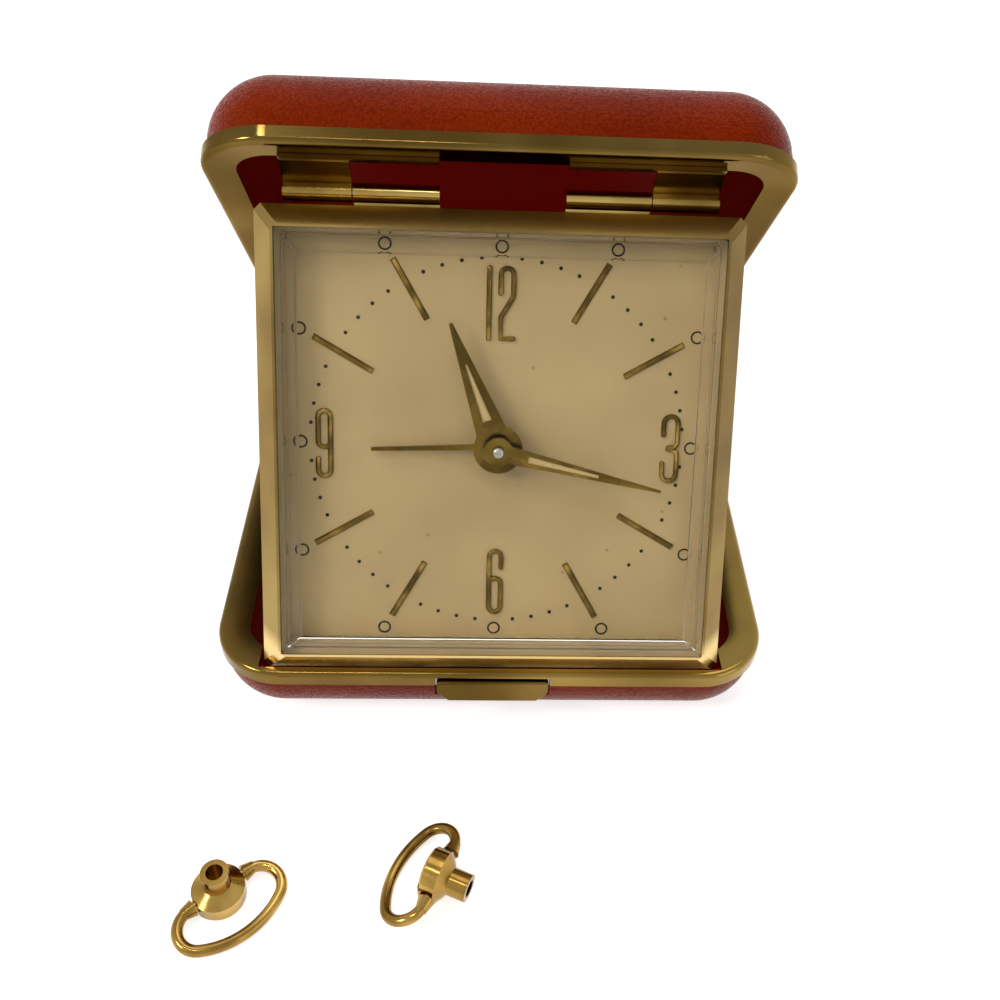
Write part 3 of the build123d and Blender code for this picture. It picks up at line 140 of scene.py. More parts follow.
def metal(name, dark, middle, light, patch_mm, roughness, grain_mm, grain_strength, edge="#FFFFFF"):
    """Metal with slow tarnish patches, dull where dark and bright where rubbed, over a fine grain.

    dark, middle and light are the patches' colours, and edge tints the reflection at a flat angle.
    """
    material, tree, shader, place = new_material(name)
    shader.inputs["Metallic"].default_value = 1.0
    shader.inputs["Specular Tint"].default_value = linear(edge)
    tarnish = add(tree, "ShaderNodeTexNoise", None,
                  {"Vector": place, "Scale": 1 / (patch_mm * MM), "Detail": 2.5, "Roughness": 0.55})
    hue = add(tree, "ShaderNodeValToRGB", None, {"Fac": tarnish.outputs["Fac"]},
              [(0.32, dark), (0.5, middle), (0.68, light)])
    tree.links.new(hue.outputs["Color"], shader.inputs["Base Color"])
    rubbed = add(tree, "ShaderNodeMapRange", None,
                 {"Value": tarnish.outputs["Fac"], "From Min": 0.3, "From Max": 0.7,
                  "To Min": roughness * 1.4, "To Max": roughness * 0.7})
    tree.links.new(rubbed.outputs["Result"], shader.inputs["Roughness"])
    grain = add(tree, "ShaderNodeTexNoise", None,
                {"Vector": place, "Scale": 1 / (grain_mm * MM), "Detail": 3.0, "Roughness": 0.7})
    bump = add(tree, "ShaderNodeBump", None,
               {"Strength": grain_strength, "Distance": 0.02 * MM, "Height": grain.outputs["Fac"]})
    tree.links.new(bump.outputs["Normal"], shader.inputs["Normal"])
    return material


def painted_light_below(material, low_mm, high_mm, code):
    """Painted light: brighten a metal's colour below a height, lighter towards the bottom of the clock's foot above the
    base rim.
    """
    tree = material.node_tree
    shader = next(node for node in tree.nodes if node.type == "BSDF_PRINCIPLED")
    unlit_colour = shader.inputs["Base Color"].links[0].from_socket
    place = add(tree, "ShaderNodeTexCoord").outputs["Object"]
    height = add(tree, "ShaderNodeSeparateXYZ", None, {"Vector": place})
    share = add(tree, "ShaderNodeMapRange", {"interpolation_type": "SMOOTHSTEP"},
                {"Value": height.outputs["Z"], "From Min": low_mm * MM, "From Max": high_mm * MM,
                 "To Min": 1.0, "To Max": 0.0})
    colour = add(tree, "ShaderNodeMix", {"data_type": "RGBA"},
                 {"Factor": share.outputs["Result"], MIX_A: unlit_colour, MIX_B: linear(code)})
    tree.links.new(colour.outputs[MIXED], shader.inputs["Base Color"])


def dial_enamel():
    """Sprayed ivory lacquer on a brass dial, yellowed unevenly by age and foxed in places."""
    material, tree, shader, place = new_material("dial_lacquer_ivory")
    haze = add(tree, "ShaderNodeTexNoise", None,
               {"Vector": place, "Scale": 1 / (14 * MM), "Detail": 4.0, "Roughness": 0.5})
    hue = add(tree, "ShaderNodeValToRGB", None, {"Fac": haze.outputs["Fac"]}, [(0.3, "#978663"), (0.7, "#A5946F")])
    foxing = add(tree, "ShaderNodeTexVoronoi", {"feature": "F1"},
                 {"Vector": place, "Scale": 1 / (5 * MM), "Randomness": 1.0})
    spots = add(tree, "ShaderNodeValToRGB", None, {"Fac": foxing.outputs["Distance"]},
                [(0.03, "#A08E70"), (0.07, "#FFFFFF")])
    colour = add(tree, "ShaderNodeMix", {"data_type": "RGBA", "blend_type": "MULTIPLY"},
                 {"Factor": 0.5, MIX_A: hue.outputs["Color"], MIX_B: spots.outputs["Color"]})
    tree.links.new(colour.outputs[MIXED], shader.inputs["Base Color"])
    grain = add(tree, "ShaderNodeTexNoise", None,
                {"Vector": place, "Scale": 1 / (0.25 * MM), "Detail": 2.0, "Roughness": 0.5})
    bump = add(tree, "ShaderNodeBump", None,
               {"Strength": 0.12, "Distance": 0.015 * MM, "Height": grain.outputs["Fac"]})
    tree.links.new(bump.outputs["Normal"], shader.inputs["Normal"])
    shader.inputs["Roughness"].default_value = 0.5
    shader.inputs["IOR"].default_value = 1.5
    shader.inputs["Specular IOR Level"].default_value = 0.3
    return material


def crystal_acrylic():
    """Clear moulded acrylic with polished bevels and faint rub marks; lamps shine through it on the dial."""
    material, tree, shader, place = new_material("acrylic_moulded_clear")
    shader.inputs["Base Color"].default_value = linear("#FBF8F0")
    shader.inputs["Transmission Weight"].default_value = 1.0
    shader.inputs["IOR"].default_value = 1.49
    shader.inputs["Specular Tint"].default_value = linear("#606060")
    rubs = add(tree, "ShaderNodeTexNoise", None,
               {"Vector": place, "Scale": 1 / (3 * MM), "Detail": 6.0, "Roughness": 0.7})
    haze = add(tree, "ShaderNodeMapRange", None,
               {"Value": rubs.outputs["Fac"], "From Min": 0.55, "From Max": 0.85, "To Min": 0.0, "To Max": 0.03})
    tree.links.new(haze.outputs["Result"], shader.inputs["Roughness"])
    rays = add(tree, "ShaderNodeLightPath")
    clear = add(tree, "ShaderNodeBsdfTransparent", None, {"Color": linear("#FBF8F0")})
    lit = add(tree, "ShaderNodeMixShader", None,
              {0: rays.outputs["Is Shadow Ray"], 1: shader.outputs["BSDF"], 2: clear.outputs["BSDF"]})
    output = next(node for node in tree.nodes if node.type == "OUTPUT_MATERIAL")
    tree.links.new(lit.outputs["Shader"], output.inputs["Surface"])
    return material


def flat_ink(name, code, roughness):
    """Printing ink or luminous paste: matt, slightly uneven in tone."""
    material, tree, shader, place = new_material(name)
    patch = add(tree, "ShaderNodeTexNoise", None,
                {"Vector": place, "Scale": 1 / (0.6 * MM), "Detail": 3.0, "Roughness": 0.6})
    hue = add(tree, "ShaderNodeMix", {"data_type": "RGBA", "blend_type": "MULTIPLY"},
              {"Factor": 0.25, MIX_A: linear(code), MIX_B: patch.outputs["Color"]})
    tree.links.new(hue.outputs[MIXED], shader.inputs["Base Color"])
    shader.inputs["Roughness"].default_value = roughness
    shader.inputs["Specular IOR Level"].default_value = 0.2
    return material


FINISHES = {
    "leatherette": embossed_leatherette(),
    "lining": lining_paper(),
    # Gilt brass sheet, buffed: a warm mirror with slow dull patches
    "gilt": metal("brass_gilt_polished", "#5C4720", "#755D2C", "#92793E", 30, 0.13, 0.35, 0.08),
    # The same sheet made darker and mirroring less white at a flat angle: painted shade for the dark reflections along
    # the rims
    "shaded_gilt": metal("brass_gilt_shaded", "#463412", "#5E4A20", "#7C6636", 30, 0.13, 0.35, 0.08, "#EEDFCA"),
    # Stamped and frosted under the gilding: a soft even sheen on each slope
    "frosted": metal("brass_gilt_stamped", "#66522A", "#806838", "#9A824A", 24, 0.2, 0.3, 0.25),
    # Rolled strip bent round a pin, scuffed: a lighter copy of the gilt brass, painted light that brightens the hinge
    # straps and knuckles where they sit in the lid's shade
    "knuckle": metal("brass_hinge_lightened", "#70582A", "#92783C", "#B69C5A", 12, 0.2, 0.3, 0.15),
    # Thin stamped brass under old lacquer: brown and half dull
    "hand": metal("brass_hand_lacquered", "#45360F", "#5C4A1A", "#786228", 5, 0.28, 0.3, 0.12),
    # Pressed figures and batons: polished crowns that go from dark to bright within a few millimetres
    "figure": metal("brass_figure_polished", "#4A3812", "#6E5A24", "#A88C4C", 3, 0.16, 0.3, 0.08),
    # Turned hub and bent wire: clean yellow brass, worn bright
    "key": metal("brass_key_turned", "#6A5120", "#947438", "#BE9C54", 8, 0.18, 0.3, 0.12),
    # Rolled plate and cut wheels: plain satin brass
    "movement": metal("brass_movement_rolled", "#8A6E36", "#A88A48", "#C8A85A", 8, 0.3, 0.3, 0.25),
    # Drawn and pressed steel: grey satin
    "steel": metal("steel_polished_blank", "#77777A", "#98989A", "#B9B9BA", 7, 0.28, 0.3, 0.2),
    "dial": dial_enamel(),
    "crystal": crystal_acrylic(),
    "ink": flat_ink("ink_black_printed", "#1C150A", 0.55),
    "lume": flat_ink("luminous_paste_aged", "#B9A67A", 0.8),
}

FOOT_LIT_MM, FOOT_UNLIT_MM = 15.5, 18.5  # heights above the table between which the painted light on the bezel's foot fades out
# Painted light on the bezel's foot: its colour turns lighter towards the bottom
painted_light_below(FINISHES["frosted"], FOOT_LIT_MM, FOOT_UNLIT_MM, "#E0C484")

NODE_FINISH = {
    "leatherette": ["base_cover", "lid_cover"],
    "lining": ["base_lining", "lid_lining"],
    "gilt": ["base_rim", "case_band", "alarm_stop_button", "time_knob", "alarm_knob"],
    "shaded_gilt": ["lid_rim", "catch_plate"],
    "frosted": ["bezel"],
    "knuckle": ["base_hinge_leaf", "lid_hinge_leaf", "lid_straps", "clock_knuckles"],
    "hand": ["minute_hand", "hour_hand", "alarm_hand"],
    "figure": ["hour_batons"],
    "key": ["left_key_hub", "left_key_loop", "right_key_hub", "right_key_loop"],
    "movement": ["front_plate", "back_plate", "plate_pillars", "cannon_pinion", "hour_wheel", "minute_wheel",
                 "alarm_wheel", "time_barrel", "ringing_barrel", "centre_wheel", "third_wheel", "fourth_wheel",
                 "escape_wheel", "balance_wheel", "star_wheel", "back_cover"],
    "steel": ["base_tray", "lid_tray", "rear_hinge_pin", "lid_strap_pins", "catch_spring", "time_stem", "alarm_stem",
              "time_spring", "ringing_spring", "time_winding_arbor", "ringing_winding_arbor", "pallet_lever",
              "hairspring", "regulator_lever", "alarm_hammer", "back_cover_screws", "dial_feet"],
    "dial": ["dial", "dial_ring"],
    "crystal": ["crystal"],
}
for finish, names in NODE_FINISH.items():
    for name in names:
        mesh = frame["nodes"][name].data
        mesh.materials.clear()
        mesh.materials.append(FINISHES[finish])


# The dial's own frame: X right, Y up the dial, Z towards the viewer, in millimetres from its centre

HANDS_AXIS = next(j for j in frame["joints"] if j["name"] == "minute_turning")
TOWARDS_VIEWER = -Vector(HANDS_AXIS["axis"])
UP_DIAL = TOWARDS_VIEWER.cross(Vector((1, 0, 0)))
AXIS_POINT_DEPTH = 1.0  # the minute joint's point lies this far behind the frame's zero
DIAL_CENTRE = Vector(HANDS_AXIS["pos_m"]) + TOWARDS_VIEWER * AXIS_POINT_DEPTH * MM
CLOCK = Matrix.Translation(DIAL_CENTRE) @ Matrix((
    (1, 0, 0, 0),
    (0, UP_DIAL.y, TOWARDS_VIEWER.y, 0),
    (0, UP_DIAL.z, TOWARDS_VIEWER.z, 0),
    (0, 0, 0, 1),
)) @ Matrix.Scale(MM, 4)
DIAL_FACE = -3.0
PRINT_LIFT = 0.03  # middle of the ink's thickness above the dial's face


def keep(name, mesh, finish, body):
    """A finished piece at the origin that rides on a body."""
    mesh.materials.clear()
    mesh.materials.append(FINISHES[finish])
    piece = bpy.data.objects.new(name, mesh)
    SCENE.collection.objects.link(piece)
    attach(piece, body)
    return piece


def plain_mesh(holder):
    """What an object's modifiers or bevel make, as a plain mesh; the object itself is removed."""
    SCENE.collection.objects.link(holder)
    bpy.context.view_layer.update()
    mesh = bpy.data.meshes.new_from_object(holder.evaluated_get(bpy.context.evaluated_depsgraph_get()))
    bpy.data.objects.remove(holder)
    return mesh


def in_order(shape):
    """Number points and faces by their place, because welded spheres list them in another order on each run."""
    points = sorted(shape.verts, key=lambda vertex: tuple(vertex.co))
    faces = sorted(shape.faces, key=lambda face: tuple(face.calc_center_median()))
    for items in (points, faces):
        for index, item in enumerate(items):
            item.index = index
    shape.verts.sort()
    shape.faces.sort()


def placed_mesh(name, shape, place):
    """A finished shape as a mesh, moved from the dial's millimetres to its place."""
    mesh = bpy.data.meshes.new(name)
    shape.to_mesh(mesh)
    shape.free()
    mesh.transform(place)
    return mesh


def along_hand(angle):
    """The place of a piece drawn up the dial on a hand that points at angle clockwise from twelve."""
    return CLOCK @ Matrix.Rotation(math.radians(-angle), 4, "Z")


# Printed minute dots and hour rings, patterned on the dial by one node tree

PRINT_SIZES = {
    "Track Radius": 26.0, "Dot Radius": 0.27, "Square Half": 27.25,
    "Ring Radius": 0.8, "Line Width": 0.24, "Ink Height": 0.04,
}


def dial_print_tree(name):
    """Dots on a round minute track, four between hours, and rings where hour rays meet a square track."""
    tree = bpy.data.node_groups.new(name, "GeometryNodeTree")
    tree.interface.new_socket("Geometry", in_out="OUTPUT", socket_type="NodeSocketGeometry")
    for size in PRINT_SIZES:
        tree.interface.new_socket(size, in_out="INPUT", socket_type="NodeSocketFloat")
    sizes = add(tree, "NodeGroupInput")

    minutes = add(tree, "GeometryNodeMeshCircle", {"fill_type": "NONE"},
                  {"Vertices": 60, "Radius": sizes.outputs["Track Radius"]})
    number = add(tree, "GeometryNodeInputIndex")
    fifth = add(tree, "ShaderNodeMath", {"operation": "MODULO"}, {0: number.outputs["Index"], 1: 5.0})
    between = add(tree, "FunctionNodeCompare", {"data_type": "FLOAT", "operation": "GREATER_THAN"},
                  {0: fifth.outputs["Value"], 1: 0.5})
    dot = add(tree, "GeometryNodeMeshCylinder", None,
              {"Vertices": 20, "Radius": sizes.outputs["Dot Radius"], "Depth": sizes.outputs["Ink Height"]})
    dots = add(tree, "GeometryNodeInstanceOnPoints", None,
               {"Points": minutes.outputs["Mesh"], "Selection": between.outputs["Result"],
                "Instance": dot.outputs["Mesh"]})

    hours = add(tree, "GeometryNodeMeshCircle", {"fill_type": "NONE"}, {"Vertices": 12, "Radius": 1.0})
    place = add(tree, "GeometryNodeInputPosition")
    parts = add(tree, "ShaderNodeSeparateXYZ", None, {"Vector": place.outputs["Position"]})
    size_x = add(tree, "ShaderNodeMath", {"operation": "ABSOLUTE"}, {0: parts.outputs["X"]})
    size_y = add(tree, "ShaderNodeMath", {"operation": "ABSOLUTE"}, {0: parts.outputs["Y"]})
    larger = add(tree, "ShaderNodeMath", {"operation": "MAXIMUM"},
                 {0: size_x.outputs["Value"], 1: size_y.outputs["Value"]})
    reach = add(tree, "ShaderNodeMath", {"operation": "DIVIDE"},
                {0: sizes.outputs["Square Half"], 1: larger.outputs["Value"]})
    spread = add(tree, "ShaderNodeVectorMath", {"operation": "SCALE"},
                 {"Vector": place.outputs["Position"], "Scale": reach.outputs["Value"]})
    squared = add(tree, "GeometryNodeSetPosition", None,
                  {"Geometry": hours.outputs["Mesh"], "Position": spread.outputs["Vector"]})
    line = add(tree, "GeometryNodeCurvePrimitiveCircle", None,
               {"Resolution": 40, "Radius": sizes.outputs["Ring Radius"]})
    section = add(tree, "GeometryNodeCurvePrimitiveQuadrilateral", None,
                  {"Width": sizes.outputs["Line Width"], "Height": sizes.outputs["Ink Height"]})
    ring = add(tree, "GeometryNodeCurveToMesh", None,
               {"Curve": line.outputs["Curve"], "Profile Curve": section.outputs["Curve"]})
    rings = add(tree, "GeometryNodeInstanceOnPoints", None,
                {"Points": squared.outputs["Geometry"], "Instance": ring.outputs["Mesh"]})

    joined = add(tree, "GeometryNodeJoinGeometry")
    tree.links.new(dots.outputs["Instances"], joined.inputs["Geometry"])
    tree.links.new(rings.outputs["Instances"], joined.inputs["Geometry"])
    real = add(tree, "GeometryNodeRealizeInstances", None, {"Geometry": joined.outputs["Geometry"]})
    inked = add(tree, "GeometryNodeSetMaterial", None,
                {"Geometry": real.outputs["Geometry"], "Material": FINISHES["ink"]})
    out = add(tree, "NodeGroupOutput")
    tree.links.new(inked.outputs["Geometry"], out.inputs["Geometry"])
    return tree


def from_tree(name, tree, sizes):
    """The plain mesh that a node tree gives for those sizes."""
    holder = bpy.data.objects.new(name, bpy.data.meshes.new(name))
    modifier = holder.modifiers.new(name, "NODES")
    modifier.node_group = tree
    for item in tree.interface.items_tree:
        if item.in_out == "INPUT" and item.name in sizes:
            modifier[item.identifier] = sizes[item.name]
    return plain_mesh(holder)


print_mesh = from_tree("dial_print", dial_print_tree("dial_print"), PRINT_SIZES)
print_mesh.transform(CLOCK @ Matrix.Translation((0, 0, DIAL_FACE + PRINT_LIFT)))
keep("dial_printing", print_mesh, "ink", "clock")


# Raised numerals, drawn as single strokes with a domed section

STROKE_RADIUS = 0.37
STROKE_HEIGHT = 0.34
STROKE_LIFT = 0.12  # the stroke's middle above the dial's face
WAIST_RADIUS = 0.75  # rounding of the three at its waist
BOWL_SHARE = 0.59  # top of the six's bowl as a share of its height


def arc(cx, cy, radius, start, end, steps=10):
    """Points on an arc, angles in degrees."""
    turns = [math.radians(start + (end - start) * i / steps) for i in range(steps + 1)]
    return [(cx + radius * math.cos(t), cy + radius * math.sin(t)) for t in turns]


def figure_one(x, low, high):
    """A single upright."""
    return [[(x, low + STROKE_RADIUS), (x, high - STROKE_RADIUS)]]


def figure_two(x, low, high, half):
    """A round head with a short hook, a slanting neck and a flat foot."""
    hook, neck, shift = 2.5, 2.9, 0.05
    top = high - STROKE_RADIUS - half
    foot = low + STROKE_RADIUS
    left, right = x - half + shift, x + half + shift
    return [
        [(x - half, top - hook), (x - half, top)] + arc(x, top, half, 180, 0)
        + [(x + half, top - neck), (left, foot + neck), (left, foot), (right, foot)],
    ]


def figure_three(x, low, high, half):
    """Two round ends with short hooks that meet in a waist."""
    top_hook, foot_hook, waist, point_x, point_y = 1.7, 1.5, 0.95, 0.25, 0.05
    top = high - STROKE_RADIUS - half
    foot = low + STROKE_RADIUS + half
    middle = (low + high) / 2
    bend = x + half - WAIST_RADIUS
    return [
        [(x - half, top - top_hook), (x - half, top)] + arc(x, top, half, 180, 0)
        + [(x + half, middle + waist)] + arc(bend, middle + waist, WAIST_RADIUS, 0, -75, 6)
        + [(x - point_x, middle + point_y)],
        [(x - point_x, middle - point_y)] + arc(bend, middle - waist, WAIST_RADIUS, 75, 0, 6)
        + [(x + half, foot)] + arc(x, foot, half, 0, -180) + [(x - half, foot + foot_hook)],
    ]


def figure_six(x, low, high, half, turn):
    """A hook, a straight back and a round bowl; turned by half a turn it is a nine."""
    hook = 1.6
    top = high - STROKE_RADIUS - half
    foot = low + STROKE_RADIUS + half
    bowl = low + (high - low) * BOWL_SHARE - STROKE_RADIUS - half
    strokes = [
        [(x + half, top - hook), (x + half, top)] + arc(x, top, half, 0, 180)
        + [(x - half, foot)] + arc(x, foot, half, 180, 360) + [(x + half, bowl)] + arc(x, bowl, half, 0, 165, 9),
    ]
    if turn:
        middle = (low + high) / 2
        strokes = [[(2 * x - px, 2 * middle - py) for px, py in stroke] for stroke in strokes]
    return strokes


def raised_figures(name, strokes):
    """Strokes as one mesh: round wire pressed flat, half sunk in the dial."""
    curve = bpy.data.curves.new(name, "CURVE")
    curve.dimensions = "3D"
    curve.bevel_depth = STROKE_RADIUS
    curve.bevel_resolution = 4
    curve.use_fill_caps = True
    for stroke in strokes:
        spline = curve.splines.new("POLY")
        spline.points.add(len(stroke) - 1)
        for point, (px, py) in zip(spline.points, stroke):
            point.co = (px, py, 0, 1)
    mesh = plain_mesh(bpy.data.objects.new(name, curve))
    shape = bmesh.new()
    shape.from_mesh(mesh)
    for stroke in strokes:
        for px, py in (stroke[0], stroke[-1]):
            bmesh.ops.create_uvsphere(shape, u_segments=12, v_segments=8, radius=STROKE_RADIUS,
                                      matrix=Matrix.Translation((px, py, 0)))
    for vertex in shape.verts:
        vertex.co.z *= STROKE_HEIGHT / STROKE_RADIUS
    for face in shape.faces:
        face.smooth = True
    bmesh.ops.recalc_face_normals(shape, faces=shape.faces)
    in_order(shape)
    shape.to_mesh(mesh)
    shape.free()
    mesh.transform(CLOCK @ Matrix.Translation((0, 0, DIAL_FACE + STROKE_LIFT)))
    return mesh


# Each figure's middle, its lowest and highest point and half its width, in millimetres on the dial
FIGURES = {
    "numeral_twelve": figure_one(-1.62, 14.6, 24.9) + figure_two(0.82, 14.6, 24.9, 0.86),
    "numeral_three": figure_three(24.3, -5.1, 4.95, 1.0),
    "numeral_six": figure_six(0.0, -25.1, -15.2, 0.84, False),
    "numeral_nine": figure_six(-24.05, -5.2, 4.8, 0.84, True),
}
for name, strokes in FIGURES.items():
    keep(name, raised_figures(name, strokes), "figure", "clock")


# Crystal: the pressed acrylic cover with an even wall and eased edges

CRYSTAL_WIDE, CRYSTAL_HIGH = 59.0, 58.5  # outside its wall; the edge and top below are heights on it
CRYSTAL_WALL, CRYSTAL_EDGE, CRYSTAL_TOP, CRYSTAL_BEVEL = 0.9, 2.6, 4.0, 2.7
CRYSTAL_FLANGE = 0.6
CRYSTAL_EASE = 0.14


def pressed_crystal(name):
    """A square cover: flange, straight wall, bevel and flat top outside, and the same shape one wall further in."""
    slope = (CRYSTAL_TOP - CRYSTAL_EDGE) / CRYSTAL_BEVEL
    drop = CRYSTAL_WALL * math.hypot(1, slope)
    inner_edge = CRYSTAL_EDGE + slope * CRYSTAL_WALL - drop
    inner_bevel = (CRYSTAL_TOP - CRYSTAL_WALL - CRYSTAL_EDGE + drop) / slope
    outer = [(-CRYSTAL_FLANGE, 0), (-CRYSTAL_FLANGE, CRYSTAL_WALL), (0, CRYSTAL_WALL), (0, CRYSTAL_EDGE),
             (CRYSTAL_BEVEL, CRYSTAL_TOP)]
    inner = [(inner_bevel, CRYSTAL_TOP - CRYSTAL_WALL), (CRYSTAL_WALL, inner_edge), (CRYSTAL_WALL, 0)]
    shape = bmesh.new()
    loops = []
    for inset, height in outer + inner:
        x, y = CRYSTAL_WIDE / 2 - inset, CRYSTAL_HIGH / 2 - inset
        loops.append([shape.verts.new((px, py, height)) for px, py in ((x, y), (-x, y), (-x, -y), (x, -y))])
    top, ceiling = len(outer) - 1, len(outer)
    for a in range(len(loops)):
        b = (a + 1) % len(loops)
        if a != top:
            for k in range(4):
                shape.faces.new((loops[a][k], loops[a][(k + 1) % 4], loops[b][(k + 1) % 4], loops[b][k]))
    shape.faces.new(loops[top])
    shape.faces.new(loops[ceiling])
    bmesh.ops.recalc_face_normals(shape, faces=shape.faces)
    rims = set(loops[top] + loops[top - 1])
    edges = [edge for edge in shape.edges if set(edge.verts) <= rims]
    bmesh.ops.bevel(shape, geom=edges, offset=CRYSTAL_EASE, segments=2, profile=0.5, affect="EDGES")
    return placed_mesh(name, shape, CLOCK)


crystal_piece = keep("crystal_cover", pressed_crystal("crystal_cover"), "crystal", "clock")
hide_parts("crystal")


# Hands: folded faces over the flat blades, luminous filling in their slots and the cap at their centre

MINUTE_ANGLE, HOUR_ANGLE = 103.0, 338.6
MINUTE_TOP, HOUR_TOP, PIPE_TOP = 1.7, 0.0, 2.2
MINUTE_BLADE, HOUR_BLADE = (2.1, 23.0, 2.38, 0.38), (3.5, 18.3, 4.0, 0.52)  # start, end and the widths there
MINUTE_SLOT, HOUR_SLOT = (4.2, 14.2, 0.95, 0.45), (4.3, 12.6, 1.3, 0.3)
FOLD_SLOPE, FOLD_SINK, FOLD_EDGE = 0.22, 0.03, 0.01
LUME_DROP, LUME_DEPTH, LUME_DOME = 0.05, 0.15, 0.05
CAP_RADIUS, CAP_HEIGHT, CAP_SINK = 0.8, 0.4, 0.02


def tapered_strip(name, slot, top, angle):
    """A thin domed filling along the slot of a hand that points at angle clockwise from twelve."""
    near, far, near_width, far_width = slot
    shape = bmesh.new()
    sections = 12
    rows = []
    for i in range(sections + 1):
        share = i / sections
        y = near + (far - near) * share
        half = (near_width + (far_width - near_width) * share) / 2
        rows.append([shape.verts.new((x, y, z)) for x, z in (
            (-half, top - LUME_DEPTH), (-half, top), (-half * 0.5, top + LUME_DOME),
            (half * 0.5, top + LUME_DOME), (half, top), (half, top - LUME_DEPTH))])
    for a, b in zip(rows, rows[1:]):
        for k in range(len(a)):
            shape.faces.new((a[k], a[(k + 1) % len(a)], b[(k + 1) % len(b)], b[k]))
    shape.faces.new(rows[0])
    shape.faces.new(rows[-1])
    bmesh.ops.recalc_face_normals(shape, faces=shape.faces)
    return placed_mesh(name, shape, along_hand(angle))


def folded_blade(name, blade, slot, top, angle):
    """Two facets that fall from a hand's middle line to its edges, left open over the slot."""
    root, tip, root_width, tip_width = blade
    near, far, near_width, far_width = slot
    shape = bmesh.new()

    def half_blade(y):
        return (root_width + (tip_width - root_width) * (y - root) / (tip - root)) / 2

    def half_slot(y):
        return (near_width + (far_width - near_width) * (y - near) / (far - near)) / 2

    def facet(side, y, inner):
        """One cross section of a facet: outer foot, outer edge, inner crest and inner foot."""
        outer = half_blade(y)
        crest = top + FOLD_SLOPE * (outer - inner)
        points = ((outer, top - FOLD_SINK), (outer, top + FOLD_EDGE),
                  (inner, crest + FOLD_EDGE), (inner, top - FOLD_SINK))
        return [shape.verts.new((side * x, y, z)) for x, z in points]

    for side in (-1, 1):
        for start, end, open_slot in ((root, near, False), (near, far, True), (far, tip, False)):
            a, b = [facet(side, y, half_slot(y) if open_slot else 0.0) for y in (start, end)]
            for k in range(4):
                shape.faces.new((a[k], a[(k + 1) % 4], b[(k + 1) % 4], b[k]))
            shape.faces.new(a)
            shape.faces.new(b)
    bmesh.ops.recalc_face_normals(shape, faces=shape.faces)
    return placed_mesh(name, shape, along_hand(angle))


def centre_cap(name, radius, height, base):
    """A domed cap over the end of the hands' pipe."""
    shape = bmesh.new()
    bmesh.ops.create_uvsphere(shape, u_segments=28, v_segments=14, radius=radius)
    for vertex in shape.verts:
        vertex.co.z = base + max(vertex.co.z, 0.0) * height / radius
    bmesh.ops.remove_doubles(shape, verts=shape.verts, dist=1e-4)
    for face in shape.faces:
        face.smooth = True
    bmesh.ops.recalc_face_normals(shape, faces=shape.faces)
    in_order(shape)
    return placed_mesh(name, shape, CLOCK)


keep("minute_hand_lume", tapered_strip("minute_hand_lume", MINUTE_SLOT, MINUTE_TOP - LUME_DROP, MINUTE_ANGLE),
     "lume", "minute")
keep("hour_hand_lume", tapered_strip("hour_hand_lume", HOUR_SLOT, HOUR_TOP - LUME_DROP, HOUR_ANGLE),
     "lume", "hour")
keep("minute_hand_fold", folded_blade("minute_hand_fold", MINUTE_BLADE, MINUTE_SLOT, MINUTE_TOP, MINUTE_ANGLE),
     "hand", "minute")
keep("hour_hand_fold", folded_blade("hour_hand_fold", HOUR_BLADE, HOUR_SLOT, HOUR_TOP, HOUR_ANGLE),
     "hand", "hour")
keep("hands_centre_cap", centre_cap("hands_centre_cap", CAP_RADIUS, CAP_HEIGHT, PIPE_TOP - CAP_SINK),
     "steel", "minute")


# Studio: pale floor, soft light and the photograph's camera

FLOOR_LIFT = 0.7  # added to the lit floor where it is seen, so that it shows white around the shadow
AMBIENT = 0.3  # the room's light on the object
HORIZON, ZENITH = 1.0, 0.7  # how bright the backdrop is seen, low and overhead
LAMP_AIM = (0, 0, 0.04)
FLOOR_SIDE, FLOOR_FRONT, FLOOR_BACK = 1.5, -1.2, 1.8


def area_light(name, place, size, watts, code):
    """A soft rectangular lamp that faces the clock."""
    lamp = bpy.data.lights.new(name, "AREA")
    lamp.shape = "RECTANGLE"
    lamp.size, lamp.size_y = size
    lamp.energy = watts
    lamp.color = linear(code)[:3]
    holder = bpy.data.objects.new(name, lamp)
    SCENE.collection.objects.link(holder)
    holder.location = place
    holder.rotation_mode = "QUATERNION"
    holder.rotation_quaternion = (Vector(LAMP_AIM) - Vector(place)).to_track_quat("-Z", "Y")


def seen_rays(tree):
    """1 where the camera sees a surface, directly, in metal or through glass."""
    rays = add(tree, "ShaderNodeLightPath")
    seen = rays.outputs["Is Camera Ray"]
    for other in ("Is Glossy Ray", "Is Transmission Ray"):
        seen = add(tree, "ShaderNodeMath", {"operation": "MAXIMUM"}, {0: seen, 1: rays.outputs[other]}).outputs["Value"]
    return seen


def white_floor():
    """A matt white sheet that lifts to white for the camera, mirrors and glass, and keeps the soft shadow."""
    material = bpy.data.materials.new("floor_paper_white")
    material.use_nodes = True
    tree = material.node_tree
    tree.nodes.clear()
    sheet = add(tree, "ShaderNodeBsdfDiffuse", None, {"Color": linear("#F4F3F1")})
    glow = add(tree, "ShaderNodeEmission", None, {"Color": linear("#FFFFFF"), "Strength": FLOOR_LIFT})
    dark = add(tree, "ShaderNodeEmission", None, {"Color": linear("#000000"), "Strength": 0.0})
    lift = add(tree, "ShaderNodeMixShader", None,
               {0: seen_rays(tree), 1: dark.outputs["Emission"], 2: glow.outputs["Emission"]})
    both = add(tree, "ShaderNodeAddShader", None, {0: sheet.outputs["BSDF"], 1: lift.outputs["Shader"]})
    output = add(tree, "ShaderNodeOutputMaterial")
    tree.links.new(both.outputs["Shader"], output.inputs["Surface"])
    return material


